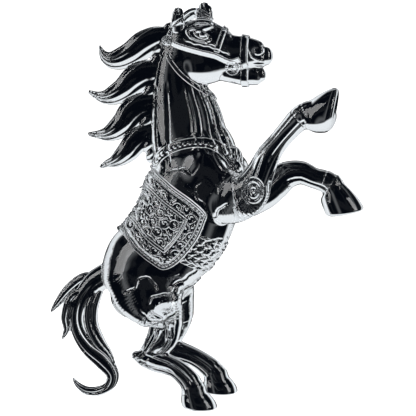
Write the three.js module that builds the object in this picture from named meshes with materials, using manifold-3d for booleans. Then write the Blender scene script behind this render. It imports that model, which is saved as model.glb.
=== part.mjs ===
// Clear crystal figurine of a rearing horse in show harness.
// Millimetres, +Z up, +X is the way the horse faces, +Y is the horse's left.
// The figurine is bonded together from separately pressed pieces of glass.
// It stands on the soles of its two hind hooves and on the curl of its tail.
import * as THREE from 'three';
import { mergeVertices } from 'three/addons/utils/BufferGeometryUtils.js';
import Module from 'manifold-3d';

// ---- driving dimensions ---------------------------------------------------
const BOND = 0.3; // bond line left between two pieces of glass
const STRAP = 1.1; // how far the bridle straps stand off the head
const HARNESS = 1.7; // how far the breast collar and girth stand off the body
const CLOTH = 1.7; // how far the saddle cloth stands off the body
const CLOTH_EDGE = 2.4; // how far the rope border of the cloth stands off
const CLOTH_BORDER = 3; // width of the rope border along the cloth's edge
const COLLAR_WIDTH = 5; // height of the breast collar's band
const GIRTH_WIDTH = 18;
const CROWN_WIDTH = 3.4;
const CHEEK_WIDTH = 2.6;
const BROWBAND_WIDTH = 3;
const NOSEBAND_WIDTH = 4;
const THROATLATCH_WIDTH = 2.4;
const HALF_STANCE = 17; // half the distance between the two hind hooves
const HOOF_TOP = 6; // radius of a hoof at its coronet
const HIND_SOLE = 8.5; // radius of a hind hoof's sole
const FRONT_SOLE = 9.6; // radius of a front hoof's sole
const HIND_HOOF_HEIGHT = 8;
const ROSETTE = 2.8; // radius of a bridle rosette
const ROSETTE_DEPTH = 2.4;
const ROSETTE_OUT = 5.8; // how far a rosette's middle is from the plane of symmetry
const BIT_RING = 2.8; // radius of a bit ring at the middle of its wire
const BIT_WIRE = 0.8; // radius of a bit ring's wire
const BIT_RING_OUT = 8.2; // how far a bit ring is from the plane of symmetry
const REACH = 40; // how far the straight cuts reach to each side in Y

// ---- stations -------------------------------------------------------------
// Each station is x, y, z, half depth in the plane of the body, half width.
// The spine runs from the poll down the neck and the trunk to the croup.
const SPINE = [
  [-15, 0, 177, 8.5, 6.2],
  [-15.6, 0, 166, 11.5, 7.4],
  [-14, 0, 155, 15, 8],
  [-11.4, 0, 144, 18, 9.6],
  [-9.4, 0, 134, 19.2, 12.4],
  [-7, 0, 126, 21, 15.5],
  [-5.5, 0, 116, 23, 18.5],
  [-8, 0, 104, 24.3, 20],
  [-12, 0, 92, 24.4, 20.6],
  [-19, 0, 81, 24, 20.4],
  [-26, 0, 73, 23.4, 20],
  [-32, 0, 66, 23, 19.6],
  [-36.5, 0, 59, 19.5, 18],
  [-39, 0, 52, 10, 12],
];
const NECK_BASE = 5; // the station where the neck meets the trunk
const LOIN = 10; // the station where the trunk meets the croup

const HEAD = [
  [-22, 0, 180, 6, 4.6],
  [-15, 0, 179, 12, 7.6],
  [-8, 0, 177.3, 16, 8.6],
  [-1, 0, 176, 16.6, 8.8],
  [6, 0, 175.3, 14, 8],
  [12, 0, 174.9, 11, 6.8],
  [18, 0, 175.6, 8.6, 6],
  [24, 0, 176, 7.6, 5.8],
  [29, 0, 175, 5.8, 4.8],
  [32, 0, 174, 2.6, 2.6],
];
const LOWER_JAW = [
  [5, 0, 167, 4, 4],
  [13, 0, 165.4, 3.6, 4.4],
  [21, 0, 164.2, 3.4, 4.2],
  [26, 0, 164.2, 3.3, 3.9],
  [29, 0, 165.4, 1.6, 2],
];
const EAR_RIGHT = [
  [-13, -4.5, 188, 3.4, 2.2],
  [-13.4, -5.6, 193, 3, 2],
  [-13.6, -6.4, 196.4, 1.5, 1.1],
  [-13.6, -6.6, 197.8, 0.5, 0.4],
];
const EAR_LEFT = [
  [-3.4, 4, 187.5, 3.4, 2.4],
  [-3, 5.4, 193, 3.6, 2.4],
  [-3.2, 6.2, 198, 2.4, 1.7],
  [-4.2, 6.6, 200.8, 0.6, 0.5],
];
const FORELOCK = [
  [-15, 0, 189, 2.4, 2.4],
  [-10.5, 0, 193.6, 2.8, 2.8],
  [-6.4, -0.6, 195.6, 2.6, 2.4],
  [-1.6, -1.8, 195, 1.8, 1.8],
  [2.6, -2.4, 192.6, 0.7, 0.9],
];
const CREST_BRAID = [
  [-20, 0, 188, 2.6, 3.2],
  [-23.6, 0, 180, 3.4, 3.6],
  [-26.6, 0, 168, 3.8, 3.8],
  [-29, 0, 155, 4, 4],
  [-30.4, 0, 142, 4, 4],
  [-30, 0, 131, 3.4, 3.8],
  [-28.8, 0, 123, 2, 2.6],
];
// Locks of the mane, from the poll down to the withers.
const MANE_LOCKS = [
  [
    [-20, -1, 184, 4.5, 3.6], [-29, -1.6, 181.6, 6.4, 4], [-38, -1.6, 175.4, 5.8, 3.8],
    [-46.4, -1, 172, 4.6, 3.2], [-52, -0.4, 173.4, 3.2, 2.4], [-54.6, 0, 177.6, 1.6, 1.4],
    [-54.8, 0, 181, 0.6, 0.6],
  ],
  [
    [-25, -1, 166, 6, 3.8], [-34, -1.8, 164, 7, 4], [-42, -1.8, 157.6, 5.6, 3.6],
    [-50, -1.2, 153.6, 4.2, 3], [-56.4, -0.6, 154, 2.8, 2.2], [-62.6, 0, 157, 0.7, 0.7],
  ],
  [
    [-28, -1, 150, 6, 3.8], [-36, -1.8, 147.4, 7, 4], [-42.4, -1.8, 140.4, 5.8, 3.6],
    [-49.6, -1.2, 135.4, 4.2, 3], [-56, -0.6, 134.4, 2.8, 2.2], [-63.6, 0, 134.6, 0.7, 0.7],
  ],
  [
    [-28, -0.8, 136, 5, 3.6], [-35, -1.6, 132.6, 5.8, 3.8], [-40.6, -1.6, 126.4, 5, 3.4],
    [-46.6, -1, 121.6, 3.4, 2.6], [-51.4, -0.4, 119.8, 2.4, 2], [-57, 0, 116.8, 0.6, 0.6],
  ],
];

// Each leg has its own pose. A front leg runs from the shoulder to the coronet.
const FRONT_LEGS = {
  right: {
    stations: [
      [5, -10, 108, 13, 8],
      [14, -14, 106, 13, 8.4],
      [23, -17, 109, 10.4, 8],
      [28.4, -18.4, 118, 7.2, 7],
      [33, -18.6, 127.6, 5.8, 6],
      [38, -18.4, 134.5, 5, 5.2],
      [43, -18.2, 139.8, 4.9, 4.9],
      [49, -18, 146.6, 5.8, 5.6],
      [54, -18, 149.2, 5.8, 5.8],
    ],
    soleAt: [65, -18, 150.4],
    soleNormal: [0.985, 0, -0.17],
  },
  left: {
    stations: [
      [4, 10, 104, 13, 8],
      [14, 13, 102.5, 11.5, 8],
      [24, 15.6, 104.6, 9.4, 7.6],
      [30.8, 16.8, 108.8, 8.2, 7.2],
      [37.2, 17.6, 113.6, 7, 6.6],
      [44.4, 17.8, 115, 6, 5.8],
      [51, 17.8, 112.6, 5.2, 5.4],
      [56.6, 17.8, 111, 5.6, 5.6],
      [60, 17.8, 109, 5.8, 5.8],
    ],
    soleAt: [67.4, 17.8, 95],
    soleNormal: [0.2, 0, -0.98],
  },
};
const KNEE = 4; // the station where the forearm meets the cannon

// A hind leg's thigh and gaskin run from the croup to the hock, and its cannon from
// the point of the hock to the coronet.
const HIND_LEGS = {
  right: {
    upper: [
      [-31, -8, 66, 21, 11],
      [-28.4, -10.4, 57.6, 19, 11.6],
      [-22.6, -12.6, 49, 14, 9.6],
      [-18.8, -14, 42.4, 8.6, 8],
      [-19.6, -15.6, 36, 7.5, 6.6],
      [-22.6, -16.6, 30, 6.6, 5.6],
      [-26, -HALF_STANCE, 24.6, 5, 4.6],
    ],
    cannon: [
      [-33.6, -HALF_STANCE, 25.6, 2.4, 2.6],
      [-30, -HALF_STANCE, 24.8, 4.6, 4.4],
      [-23.6, -HALF_STANCE, 23.4, 5.8, 5.4],
      [-13.6, -HALF_STANCE, 20, 5.2, 4.8],
      [-6.6, -HALF_STANCE, 14, 5, 5],
      [-4, -HALF_STANCE, 8.6, 5.6, 5.6],
    ],
    soleAt: [-0.8, -HALF_STANCE, 0],
  },
  left: {
    upper: [
      [-28, 8, 65, 20, 11],
      [-25, 10.4, 56, 18, 11.6],
      [-20.6, 12.6, 48, 12.6, 9.6],
      [-18.4, 14, 42, 8.4, 8],
      [-19.6, 15.4, 36, 7.4, 6.6],
      [-21.6, 16.4, 29.4, 6.4, 5.6],
      [-23.6, HALF_STANCE, 23.4, 5, 4.6],
    ],
    cannon: [
      [-31.4, HALF_STANCE, 22.8, 2.4, 2.6],
      [-27.6, HALF_STANCE, 22.4, 4.6, 4.4],
      [-21, HALF_STANCE, 21.4, 5.8, 5.4],
      [-10.6, HALF_STANCE, 18.2, 5.2, 4.8],
      [-2.4, HALF_STANCE, 13.2, 5, 5],
      [1.4, HALF_STANCE, 8.6, 5.6, 5.6],
    ],
    soleAt: [4, HALF_STANCE, 0],
  },
};
const STIFLE = 3; // the station where the thigh meets the gaskin

// The tail is one stem with three loose strands. The curl at its end rests on the ground.
const TAIL = [
  [-50, 0, 64, 7, 7],
  [-59, 0, 58.6, 6, 5.6],
  [-65.4, 0, 51, 4.6, 4.8],
  [-68.2, 0, 41.6, 3.9, 4.4],
  [-67, 0, 33, 3.8, 4.2],
  [-62, 0, 25, 4.2, 4],
  [-54.6, 0, 18.4, 4.6, 3.8],
  [-49.6, 0, 11.4, 3.4, 3.4],
  [-51.4, 0, 5.4, 2.8, 3.1],
  [-57.4, 0, 2.2, 2.6, 2.9],
  [-63.4, 0, 2.3, 2.2, 2.4],
  [-68, 0, 5.2, 1.4, 1.6],
  [-70.4, 0, 8.6, 0.5, 0.6],
];
const TAIL_PIECES = [['tail_dock', 0, 2], ['tail_stem', 2, 5], ['tail_curl', 5, 12]];
const TAIL_STRANDS = {
  tail_strand_outer: [
    [-57, 1, 61.6, 3, 3], [-65, 1.4, 59.6, 3.6, 3.2], [-72.4, 1.2, 54, 3.2, 3],
    [-78, 0.8, 47.6, 2, 2], [-81.6, 0.4, 43, 0.6, 0.6],
  ],
  tail_strand_middle: [
    [-63, -1, 55, 3, 3], [-70, -2, 50, 3.4, 3.2], [-73.2, -2, 41, 2.8, 2.8],
    [-73, -1.6, 34.6, 1.8, 1.8], [-75.4, -1, 29.4, 0.6, 0.6],
  ],
  tail_strand_inner: [
    [-56.6, -0.4, 55.4, 3, 3.4], [-60, -0.6, 46.4, 3.8, 3.8], [-60.2, -0.6, 37.4, 3.8, 3.8],
    [-56.6, -0.4, 28.4, 3.4, 3.4], [-51.6, 0, 22, 2, 2.4], [-48.6, 0, 16.6, 0.7, 0.9],
  ],
};

// ---- outlines and lines in the X, Z plane, cut through the body in Y -------
const CLOTH_OUTLINE = [
  [-40, 124], [-23.6, 117.6], [-13.4, 111], [-4.3, 105], [2.3, 98.6], [1.8, 94], [-2.3, 84.8],
  [-9.4, 75.6], [-15, 71], [-19.5, 69.9], [-23.6, 72.3], [-28.7, 75.7], [-33.8, 79.6],
  [-40.4, 85.5], [-56, 94],
];
const COLLAR_LINE = [
  [-36, 113], [-27, 120], [-22, 125.6], [-16, 129.6], [-9, 132], [-2, 132.8], [5, 131.6],
  [11, 127.4], [17, 120], [25, 111],
];
const GIRTH_LINE = [[-33, 98], [21, 64]];
const CROWN_LINE = [[-16.6, 199], [-18.6, 188], [-19, 184.6]];
const CHEEK_LINE = [[-19, 181.6], [-12.6, 179.3], [-2.5, 176.6], [5.1, 174.7], [11.7, 171.8], [18, 174]];
const BROWBAND_LINE = [[11, 196], [7.6, 184], [5.4, 174.6]];
const NOSEBAND_LINE = [[18.8, 190], [18.8, 156]];
const THROATLATCH_LINE = [[-20.6, 177], [-18, 172.6], [-12, 165.4], [-3.5, 158.8], [6, 153]];
const ROSETTE_AT = [-19.6, 182];
const BIT_RING_AT = [13.4, 169];
const ORNAMENT = { at: [12.4, -2, 123], size: [6.4, 8, 8.4] };

// ---- solids ---------------------------------------------------------------
const wasm = await Module();
wasm.setup();

function solidOf(geometry) {
  const bare = geometry.clone();
  bare.deleteAttribute('normal');
  bare.deleteAttribute('uv');
  const merged = mergeVertices(bare, 1e-4);
  const mesh = new wasm.Mesh({
    numProp: 3,
    vertProperties: new Float32Array(merged.attributes.position.array),
    triVerts: new Uint32Array(merged.index.array),
  });
  return new wasm.Manifold(mesh);
}

function geometryOf(solid) {
  const mesh = solid.getMesh();
  const geometry = new THREE.BufferGeometry();
  geometry.setAttribute('position', new THREE.BufferAttribute(mesh.vertProperties, 3));
  geometry.setIndex(new THREE.BufferAttribute(mesh.triVerts, 1));
  geometry.computeVertexNormals();
  return geometry;
}

function joined(solids) {
  return solids.reduce((all, solid) => all.add(solid));
}

function carved(solid, cutters) {
  return cutters.reduce((rest, cutter) => rest.subtract(cutter), solid);
}

// Moves the vertices of an upright cylinder of radius 1 and height 1. The place
// function gets the height from 0 to 1 and the two coordinates in the circle.
function shapedCylinder(around, rows, place) {
  const geometry = new THREE.CylinderGeometry(1, 1, 1, around, rows);
  const vertices = geometry.attributes.position;
  for (let i = 0; i < vertices.count; i += 1) {
    const moved = place(vertices.getY(i) + 0.5, vertices.getX(i), vertices.getZ(i));
    vertices.setXYZ(i, moved.x, moved.y, moved.z);
  }
  return solidOf(geometry);
}

// The direction nearest to +Y that is square to another direction.
function acrossFrom(direction) {
  return new THREE.Vector3(0, 1, 0).addScaledVector(direction, -direction.y).normalize();
}

// A limb follows the curve through its stations, with an elliptical section at each
// step. Its ends are flat, square to the curve. Trim takes a length off each end.
function limb(stations, { from = 0, to = stations.length - 1, grow = 0, trim = [0, 0],
  around = 14, steps = 2 } = {}) {
  const last = stations.length - 1;
  const path = new THREE.CatmullRomCurve3(stations.map(([x, y, z]) => new THREE.Vector3(x, y, z)));
  const girth = new THREE.CatmullRomCurve3(
    stations.map(([, , , depth, width]) => new THREE.Vector3(depth, width, 0)),
  );
  const trimmed = (station, length) => {
    const before = Math.max(0, station / last - 0.01);
    const after = Math.min(1, station / last + 0.01);
    const speed = path.getPoint(before).distanceTo(path.getPoint(after)) / (after - before);
    return station / last + length / speed;
  };
  const start = trimmed(from, trim[0]);
  const end = trimmed(to, -trim[1]);
  return shapedCylinder(around, (to - from) * steps, (height, wide, deep) => {
    const t = start + (end - start) * height;
    const tangent = path.getTangent(t);
    const across = acrossFrom(tangent);
    const size = girth.getPoint(t);
    return path.getPoint(t)
      .addScaledVector(across, wide * (size.y + grow))
      .addScaledVector(across.clone().cross(tangent), deep * (size.x + grow));
  });
}

// A hoof widens from its coronet to a flat sole, which can lie at another angle.
function hoof(topAt, topNormal, soleAt, soleNormal, soleRadius, grow = 0) {
  const ends = [[soleAt, soleNormal, soleRadius], [topAt, topNormal, HOOF_TOP]];
  const rings = ends.map(([at, normal, radius]) => {
    const axis = new THREE.Vector3(...normal).normalize();
    const across = acrossFrom(axis);
    return { at: new THREE.Vector3(...at), across, deep: across.clone().cross(axis), radius };
  });
  return shapedCylinder(18, 2, (height, wide, deep) => {
    const [low, high] = rings.map((ring) => ring.at.clone()
      .addScaledVector(ring.across, wide * (ring.radius + grow))
      .addScaledVector(ring.deep, deep * (ring.radius + grow)));
    const bulge = 1 + 0.06 * Math.sin(Math.PI * height);
    const middle = rings[0].at.clone().lerp(rings[1].at, height);
    return low.lerp(high, height).sub(middle).multiplyScalar(bulge).add(middle);
  });
}

// A prism through the body: an outline in the X, Z plane, cut straight through in Y.
function prism(outline, yFrom = -REACH, yTo = REACH) {
  const shape = new THREE.Shape(outline.map(([x, z]) => new THREE.Vector2(x, z)));
  const geometry = new THREE.ExtrudeGeometry(shape, { depth: yTo - yFrom, bevelEnabled: false });
  geometry.rotateX(Math.PI / 2);
  geometry.translate(0, yTo, 0);
  return solidOf(geometry);
}

// Each point of a line or outline in the X, Z plane, moved sideways by a distance.
function offset(line, distance, closed) {
  const points = line.map(([x, z]) => new THREE.Vector2(x, z));
  const count = points.length;
  const at = (i) => points[closed ? (i + count) % count : Math.min(count - 1, Math.max(0, i))];
  return points.map((p, i) => {
    const along = at(i + 1).clone().sub(at(i - 1)).normalize();
    return [p.x - along.y * distance, p.y + along.x * distance];
  });
}

function inset(outline, distance) {
  const turn = Math.sign(THREE.ShapeUtils.area(outline.map(([x, z]) => new THREE.Vector2(x, z))));
  return offset(outline, turn * distance, true);
}

// A band of one width that follows a line of points in the X, Z plane.
function band(line, width, yFrom, yTo) {
  const edges = [offset(line, width / 2), offset(line, -width / 2).reverse()];
  return prism(edges.flat(), yFrom, yTo);
}

// ---- body forms, each of which can be grown outwards ----------------------
function neckForm(grow = 0, trim = 0) {
  return limb(SPINE, { to: NECK_BASE, grow, trim: [0, trim], around: 22 });
}

function trunkForm(grow = 0, trim = 0) {
  return limb(SPINE, { from: NECK_BASE, to: LOIN, grow, trim: [trim, trim], around: 22 });
}

function thighForm({ upper }, grow = 0, trim = 0) {
  return limb(upper, { to: STIFLE, grow, trim: [0, trim], around: 16 });
}

function croupForm(grow = 0, trim = 0) {
  const croup = limb(SPINE, { from: LOIN, grow, around: 22 });
  return joined([croup, ...Object.values(HIND_LEGS).map((leg) => thighForm(leg, grow, trim))]);
}

function headForm(grow = 0) {
  return limb(HEAD, { grow, around: 16 });
}

function jawForm(grow = 0) {
  return limb(LOWER_JAW, { grow, around: 10 });
}

function bodyForm(grow) {
  const thighs = Object.values(HIND_LEGS).map((leg) => thighForm(leg, grow));
  return joined([limb(SPINE, { grow, around: 22 }), ...thighs]);
}

// ---- the pieces -----------------------------------------------------------
const figure = new THREE.Group();
const CLEAR_GLASS = { color: 0xf4f8fb, roughness: 0.04, metalness: 0 };
const FROSTED_GLASS = { color: 0xe2e8ee, roughness: 0.25, metalness: 0 };

function addPiece(name, solid, look = CLEAR_GLASS) {
  const mesh = new THREE.Mesh(geometryOf(solid), new THREE.MeshStandardMaterial(look));
  mesh.name = name;
  figure.add(mesh);
}

const half = BOND / 2;
const neckGrown = neckForm(BOND);
const trunkGrown = trunkForm(BOND);
const headGrown = headForm(BOND);
const jawGrown = jawForm(BOND);
const bodyGrown = bodyForm(BOND);

// The body: the croup carries both thighs, and the neck has a seat for the head.
addPiece('torso', trunkForm(0, half));
addPiece('hindquarters', carved(croupForm(0, half), [trunkGrown]));
addPiece('neck', carved(neckForm(0, half), [headGrown, trunkGrown]));

// The head, with its ears, forelock and lower jaw.
const EARS = { ear_right: EAR_RIGHT, ear_left: EAR_LEFT };
const ears = (grow) => Object.values(EARS).map((ear) => limb(ear, { grow, around: 10 }));
addPiece('head', headForm());
addPiece('lower_jaw', carved(jawForm(), [headGrown]));
Object.entries(EARS).forEach(([name, ear]) => {
  addPiece(name, carved(limb(ear, { around: 10 }), [headGrown]));
});
const forelock = (grow) => limb(FORELOCK, { grow, around: 10 });
addPiece('forelock', carved(forelock(0), [headGrown, ...ears(BOND)]));

// The braided crest.
const braid = (grow) => limb(CREST_BRAID, { grow, around: 10 });
const braidGrown = braid(BOND);
const rosette = (sign, grow = 0) => {
  const radius = ROSETTE + grow;
  const disc = new THREE.CylinderGeometry(radius, radius, ROSETTE_DEPTH + 2 * grow, 16);
  disc.translate(ROSETTE_AT[0], sign * ROSETTE_OUT, ROSETTE_AT[1]);
  return solidOf(disc);
};
const rosettes = [-1, 1].map((sign) => rosette(sign, BOND));
addPiece('crest_braid', carved(braid(0), [headGrown, neckGrown, trunkGrown]));

// The bridle. Each strap is a shell on the head, cut to the width of its band.
const headSkin = joined([headForm(STRAP), jawForm(STRAP)]);
const strap = (line, width, cutters, side = [-REACH, REACH]) =>
  carved(headSkin.intersect(band(line, width, ...side)), [headGrown, jawGrown, ...cutters]);
const space = (line, width) => band(line, width + 2 * BOND);
const crownSpace = space(CROWN_LINE, CROWN_WIDTH);
const nosebandSpace = space(NOSEBAND_LINE, NOSEBAND_WIDTH);
const cheekSpace = space(CHEEK_LINE, CHEEK_WIDTH);
const SIDES = [['right', -1, [-REACH, -1]], ['left', 1, [1, REACH]]];
addPiece('bridle_crown', strap(CROWN_LINE, CROWN_WIDTH,
  [neckGrown, braidGrown, forelock(BOND), ...ears(BOND), ...rosettes]));
addPiece('bridle_noseband', strap(NOSEBAND_LINE, NOSEBAND_WIDTH, []));
addPiece('bridle_browband', strap(BROWBAND_LINE, BROWBAND_WIDTH, [cheekSpace]));
SIDES.forEach(([side, sign, range]) => {
  addPiece(`bridle_cheek_${side}`, strap(CHEEK_LINE, CHEEK_WIDTH,
    [crownSpace, nosebandSpace, neckGrown, ...rosettes], range));
  addPiece(`bridle_rosette_${side}`, carved(rosette(sign), [headGrown, neckGrown, braidGrown]));
  const ring = new THREE.TorusGeometry(BIT_RING, BIT_WIRE, 6, 14);
  ring.rotateX(Math.PI / 2);
  ring.translate(BIT_RING_AT[0], sign * BIT_RING_OUT, BIT_RING_AT[1]);
  addPiece(`bit_ring_${side}`, carved(solidOf(ring), [headSkin]));
});
const throat = joined([headForm(STRAP), neckForm(STRAP)])
  .intersect(band(THROATLATCH_LINE, THROATLATCH_WIDTH));
addPiece('throatlatch', carved(throat,
  [headGrown, neckGrown, braidGrown, crownSpace, cheekSpace, ...rosettes]));

// The four loose locks of the mane grow out from behind the bridle and the braid.
const locksPlaced = [headForm(STRAP + BOND).intersect(crownSpace), ...rosettes];
MANE_LOCKS.forEach((lock, i) => {
  const seat = [braidGrown, neckGrown, headGrown, ...locksPlaced];
  addPiece(`mane_lock_${i + 1}`, carved(limb(lock, { around: 10 }), seat));
  locksPlaced.push(limb(lock, { grow: BOND, around: 10 }));
});

// The harness: breast collar with its ornament, saddle cloth with its rope border, girth.
const harnessSkin = bodyForm(HARNESS);
const collarGrown = bodyForm(HARNESS + BOND).intersect(space(COLLAR_LINE, COLLAR_WIDTH));
addPiece('breast_collar', carved(harnessSkin.intersect(band(COLLAR_LINE, COLLAR_WIDTH)),
  [bodyGrown, braidGrown]));
const ornament = new THREE.SphereGeometry(1, 14, 10);
ornament.scale(...ORNAMENT.size);
ornament.translate(...ORNAMENT.at);
const ornamentSolid = solidOf(ornament);
addPiece('breast_ornament', carved(ornamentSolid, [bodyGrown, collarGrown]), FROSTED_GLASS);
const clothSpace = bodyForm(CLOTH_EDGE + BOND).intersect(prism(inset(CLOTH_OUTLINE, -BOND)));
const clothMiddle = inset(CLOTH_OUTLINE, CLOTH_BORDER);
addPiece('saddle_cloth', carved(bodyForm(CLOTH).intersect(prism(inset(clothMiddle, BOND))),
  [bodyGrown, collarGrown]), FROSTED_GLASS);
addPiece('saddle_cloth_border', carved(bodyForm(CLOTH_EDGE).intersect(prism(CLOTH_OUTLINE)),
  [bodyGrown, prism(clothMiddle), collarGrown]), FROSTED_GLASS);
addPiece('girth', carved(harnessSkin.intersect(band(GIRTH_LINE, GIRTH_WIDTH)),
  [bodyGrown, clothSpace]), FROSTED_GLASS);
const girthGrown = bodyForm(HARNESS + BOND).intersect(space(GIRTH_LINE, GIRTH_WIDTH));

// The legs.
Object.entries(FRONT_LEGS).forEach(([side, { stations, soleAt, soleNormal }]) => {
  const end = stations[stations.length - 1];
  const cannonAxis = stations[stations.length - 2].slice(0, 3).map((value, i) => value - end[i]);
  const hoofForm = (grow) => hoof(end.slice(0, 3), cannonAxis, soleAt, soleNormal.map((n) => -n),
    FRONT_SOLE, grow);
  addPiece(`front_${side}_forearm`, carved(limb(stations, { to: KNEE, trim: [0, half] }),
    [bodyGrown, collarGrown, clothSpace, girthGrown, ornamentSolid]));
  addPiece(`front_${side}_cannon`, carved(limb(stations, { from: KNEE, trim: [half, 0] }),
    [hoofForm(BOND)]));
  addPiece(`front_${side}_hoof`, hoofForm(0));
});
Object.entries(HIND_LEGS).forEach(([side, { upper, cannon, soleAt }]) => {
  const end = cannon[cannon.length - 1];
  const top = [end[0] + 0.6, end[1], HIND_HOOF_HEIGHT];
  const hoofForm = (grow) => hoof(top, [0, 0, 1], soleAt, [0, 0, 1], HIND_SOLE, grow);
  addPiece(`hind_${side}_gaskin`, carved(limb(upper, { from: STIFLE, trim: [half, 0] }),
    [limb(cannon, { grow: BOND }), croupForm(BOND, half)]));
  addPiece(`hind_${side}_cannon`, carved(limb(cannon), [hoofForm(BOND)]));
  addPiece(`hind_${side}_hoof`, hoofForm(0));
});

// The tail.
const tailGrown = limb(TAIL, { grow: BOND, around: 12 });
const belowGround = prism([[-100, 0], [-100, -REACH], [100, -REACH], [100, 0]]);
TAIL_PIECES.forEach(([name, from, to]) => {
  const trim = [from > 0 ? half : 0, to < TAIL.length - 1 ? half : 0];
  addPiece(name, carved(limb(TAIL, { from, to, trim, around: 12 }), [bodyGrown, belowGround]));
});
const strandsPlaced = [];
Object.entries(TAIL_STRANDS).forEach(([name, stations]) => {
  addPiece(name, carved(limb(stations, { around: 10 }), [tailGrown, bodyGrown, ...strandsPlaced]));
  strandsPlaced.push(limb(stations, { grow: BOND, around: 10 }));
});

// The origin is on the ground, under the middle of the figurine.
const extent = new THREE.Box3().setFromObject(figure);
figure.position.set(
  -(extent.min.x + extent.max.x) / 2,
  -(extent.min.y + extent.max.y) / 2,
  -extent.min.z,
);

export default figure;
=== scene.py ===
# The looks of a clear crystal figurine: a rearing horse in show harness.
#
# The whole horse is one carved distance field, in millimetres. Each piece of glass is
# the part of that field that lies nearest to the piece's own form, so neighbouring
# pieces meet in a bond face and their outer skin runs on without a step.
import copy
import math

import bpy
import numpy as np
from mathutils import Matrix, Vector


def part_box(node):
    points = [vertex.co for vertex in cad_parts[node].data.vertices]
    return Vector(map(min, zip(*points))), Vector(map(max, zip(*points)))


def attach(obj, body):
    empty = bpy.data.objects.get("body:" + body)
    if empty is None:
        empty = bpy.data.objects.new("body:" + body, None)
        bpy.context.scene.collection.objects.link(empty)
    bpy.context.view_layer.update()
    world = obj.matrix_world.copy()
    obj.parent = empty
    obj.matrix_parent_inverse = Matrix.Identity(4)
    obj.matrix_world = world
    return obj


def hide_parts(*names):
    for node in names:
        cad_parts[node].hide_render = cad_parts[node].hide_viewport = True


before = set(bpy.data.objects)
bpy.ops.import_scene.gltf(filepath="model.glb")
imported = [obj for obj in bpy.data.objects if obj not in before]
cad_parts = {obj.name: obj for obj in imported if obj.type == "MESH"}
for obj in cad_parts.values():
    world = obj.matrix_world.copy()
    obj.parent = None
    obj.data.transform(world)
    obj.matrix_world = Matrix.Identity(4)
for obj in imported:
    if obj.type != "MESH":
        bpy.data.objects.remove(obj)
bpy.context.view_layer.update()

MM = 0.001
FAR = 5.0  # the distance given to points that are further than this from a form
BOND = 0.02  # how far each bond face stays back from the middle of the bond
FINE = 1.0

# Where the drawing's own origin lies in the frame, from the two hind hooves.
LEFT_SOLE_TOE = 12.5
right_sole, left_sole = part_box("hind_right_hoof"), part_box("hind_left_hoof")
ORIGIN = np.array([
    left_sole[1][0] / MM - LEFT_SOLE_TOE,
    (right_sole[0][1] + left_sole[1][1]) / 2 / MM,
    0.0,
])


# ---- camera ---------------------------------------------------------------
VIEW_AZIMUTH, VIEW_ELEVATION, VIEW_DISTANCE = math.radians(10), math.radians(8), 900.0
SENSOR = 36.0
VIEW_SPAN = 208.0  # the width of the view where the horse stands, in mm
VIEW_LIFT = -0.0072  # how far the view is moved down, as a share of its width


def make_camera():
    target = np.array([0.0, 0.0, 100.0]) + ORIGIN
    away = np.array([
        math.sin(VIEW_AZIMUTH) * math.cos(VIEW_ELEVATION),
        -math.cos(VIEW_AZIMUTH) * math.cos(VIEW_ELEVATION),
        math.sin(VIEW_ELEVATION),
    ])
    camera = bpy.data.objects.new("camera", bpy.data.cameras.new("camera"))
    bpy.context.scene.collection.objects.link(camera)
    camera.location = (target + away * VIEW_DISTANCE) * MM
    camera.rotation_euler = Vector(-away).to_track_quat("-Z", "Y").to_euler()
    camera.data.sensor_width = SENSOR
    camera.data.lens = SENSOR * VIEW_DISTANCE / VIEW_SPAN
    camera.data.shift_y = VIEW_LIFT
    camera.data.clip_end = 20
    bpy.context.scene.camera = camera


make_camera()


# ---- distance fields ------------------------------------------------------
def smooth_min(a, b, k):
    """The smaller of two distances, blended where they differ by less than k."""
    h = np.maximum(k - np.abs(a - b), 0) / k
    return np.minimum(a, b) - h * h * k * 0.25


def smooth_step(x, low, high):
    t = np.clip((x - low) / (high - low), 0, 1)
    return t * t * (3 - 2 * t)


def bump(x, width):
    """A smooth hill of height 1 at x = 0 that reaches 0 at plus and minus width."""
    t = np.clip(1 - (x / width) ** 2, 0, 1)
    return t * t


def spline(rows, per_span):
    """Catmull-Rom points through the rows, with the row number of each point."""
    rows = np.asarray(rows, np.float32)
    padded = np.vstack([2 * rows[0] - rows[1], rows, 2 * rows[-1] - rows[-2]])
    number = np.linspace(0, len(rows) - 1, (len(rows) - 1) * per_span + 1)
    i = np.minimum(number.astype(int), len(rows) - 2)
    t = (number - i)[:, None]
    a, b, c, d = padded[i], padded[i + 1], padded[i + 2], padded[i + 3]
    points = 0.5 * (2 * b + (c - a) * t + (2 * a - 5 * b + 4 * c - d) * t ** 2
                    + (3 * b - a - 3 * c + d) * t ** 3)
    return points.astype(np.float32), number.astype(np.float32)


def nearest(q, line):
    """The place on a line of points, as a row number, that is nearest to each point."""
    spans = line[1:] - line[:-1]
    centred = line - line.mean(0)
    square = np.einsum("ij,ij->i", centred, centred) - 2 * ((q - line.mean(0)) @ centred.T)
    middle = square.argmin(1)
    at = np.zeros(len(q), np.float32)
    best = np.full(len(q), np.inf, np.float32)
    for i in (np.maximum(middle - 1, 0), np.minimum(middle, len(line) - 2)):
        offset, span = q - line[i], spans[i]
        t = np.einsum("ij,ij->i", offset, span) / np.einsum("ij,ij->i", span, span)
        t = np.clip(t, 0, 1)
        offset -= t[:, None] * span
        square = np.einsum("ij,ij->i", offset, offset)
        closer = square < best
        best = np.where(closer, square, best)
        at = np.where(closer, i + t, at)
    i = np.minimum(at.astype(int), len(line) - 2)
    return i, (at - i).astype(np.float32)


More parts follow.
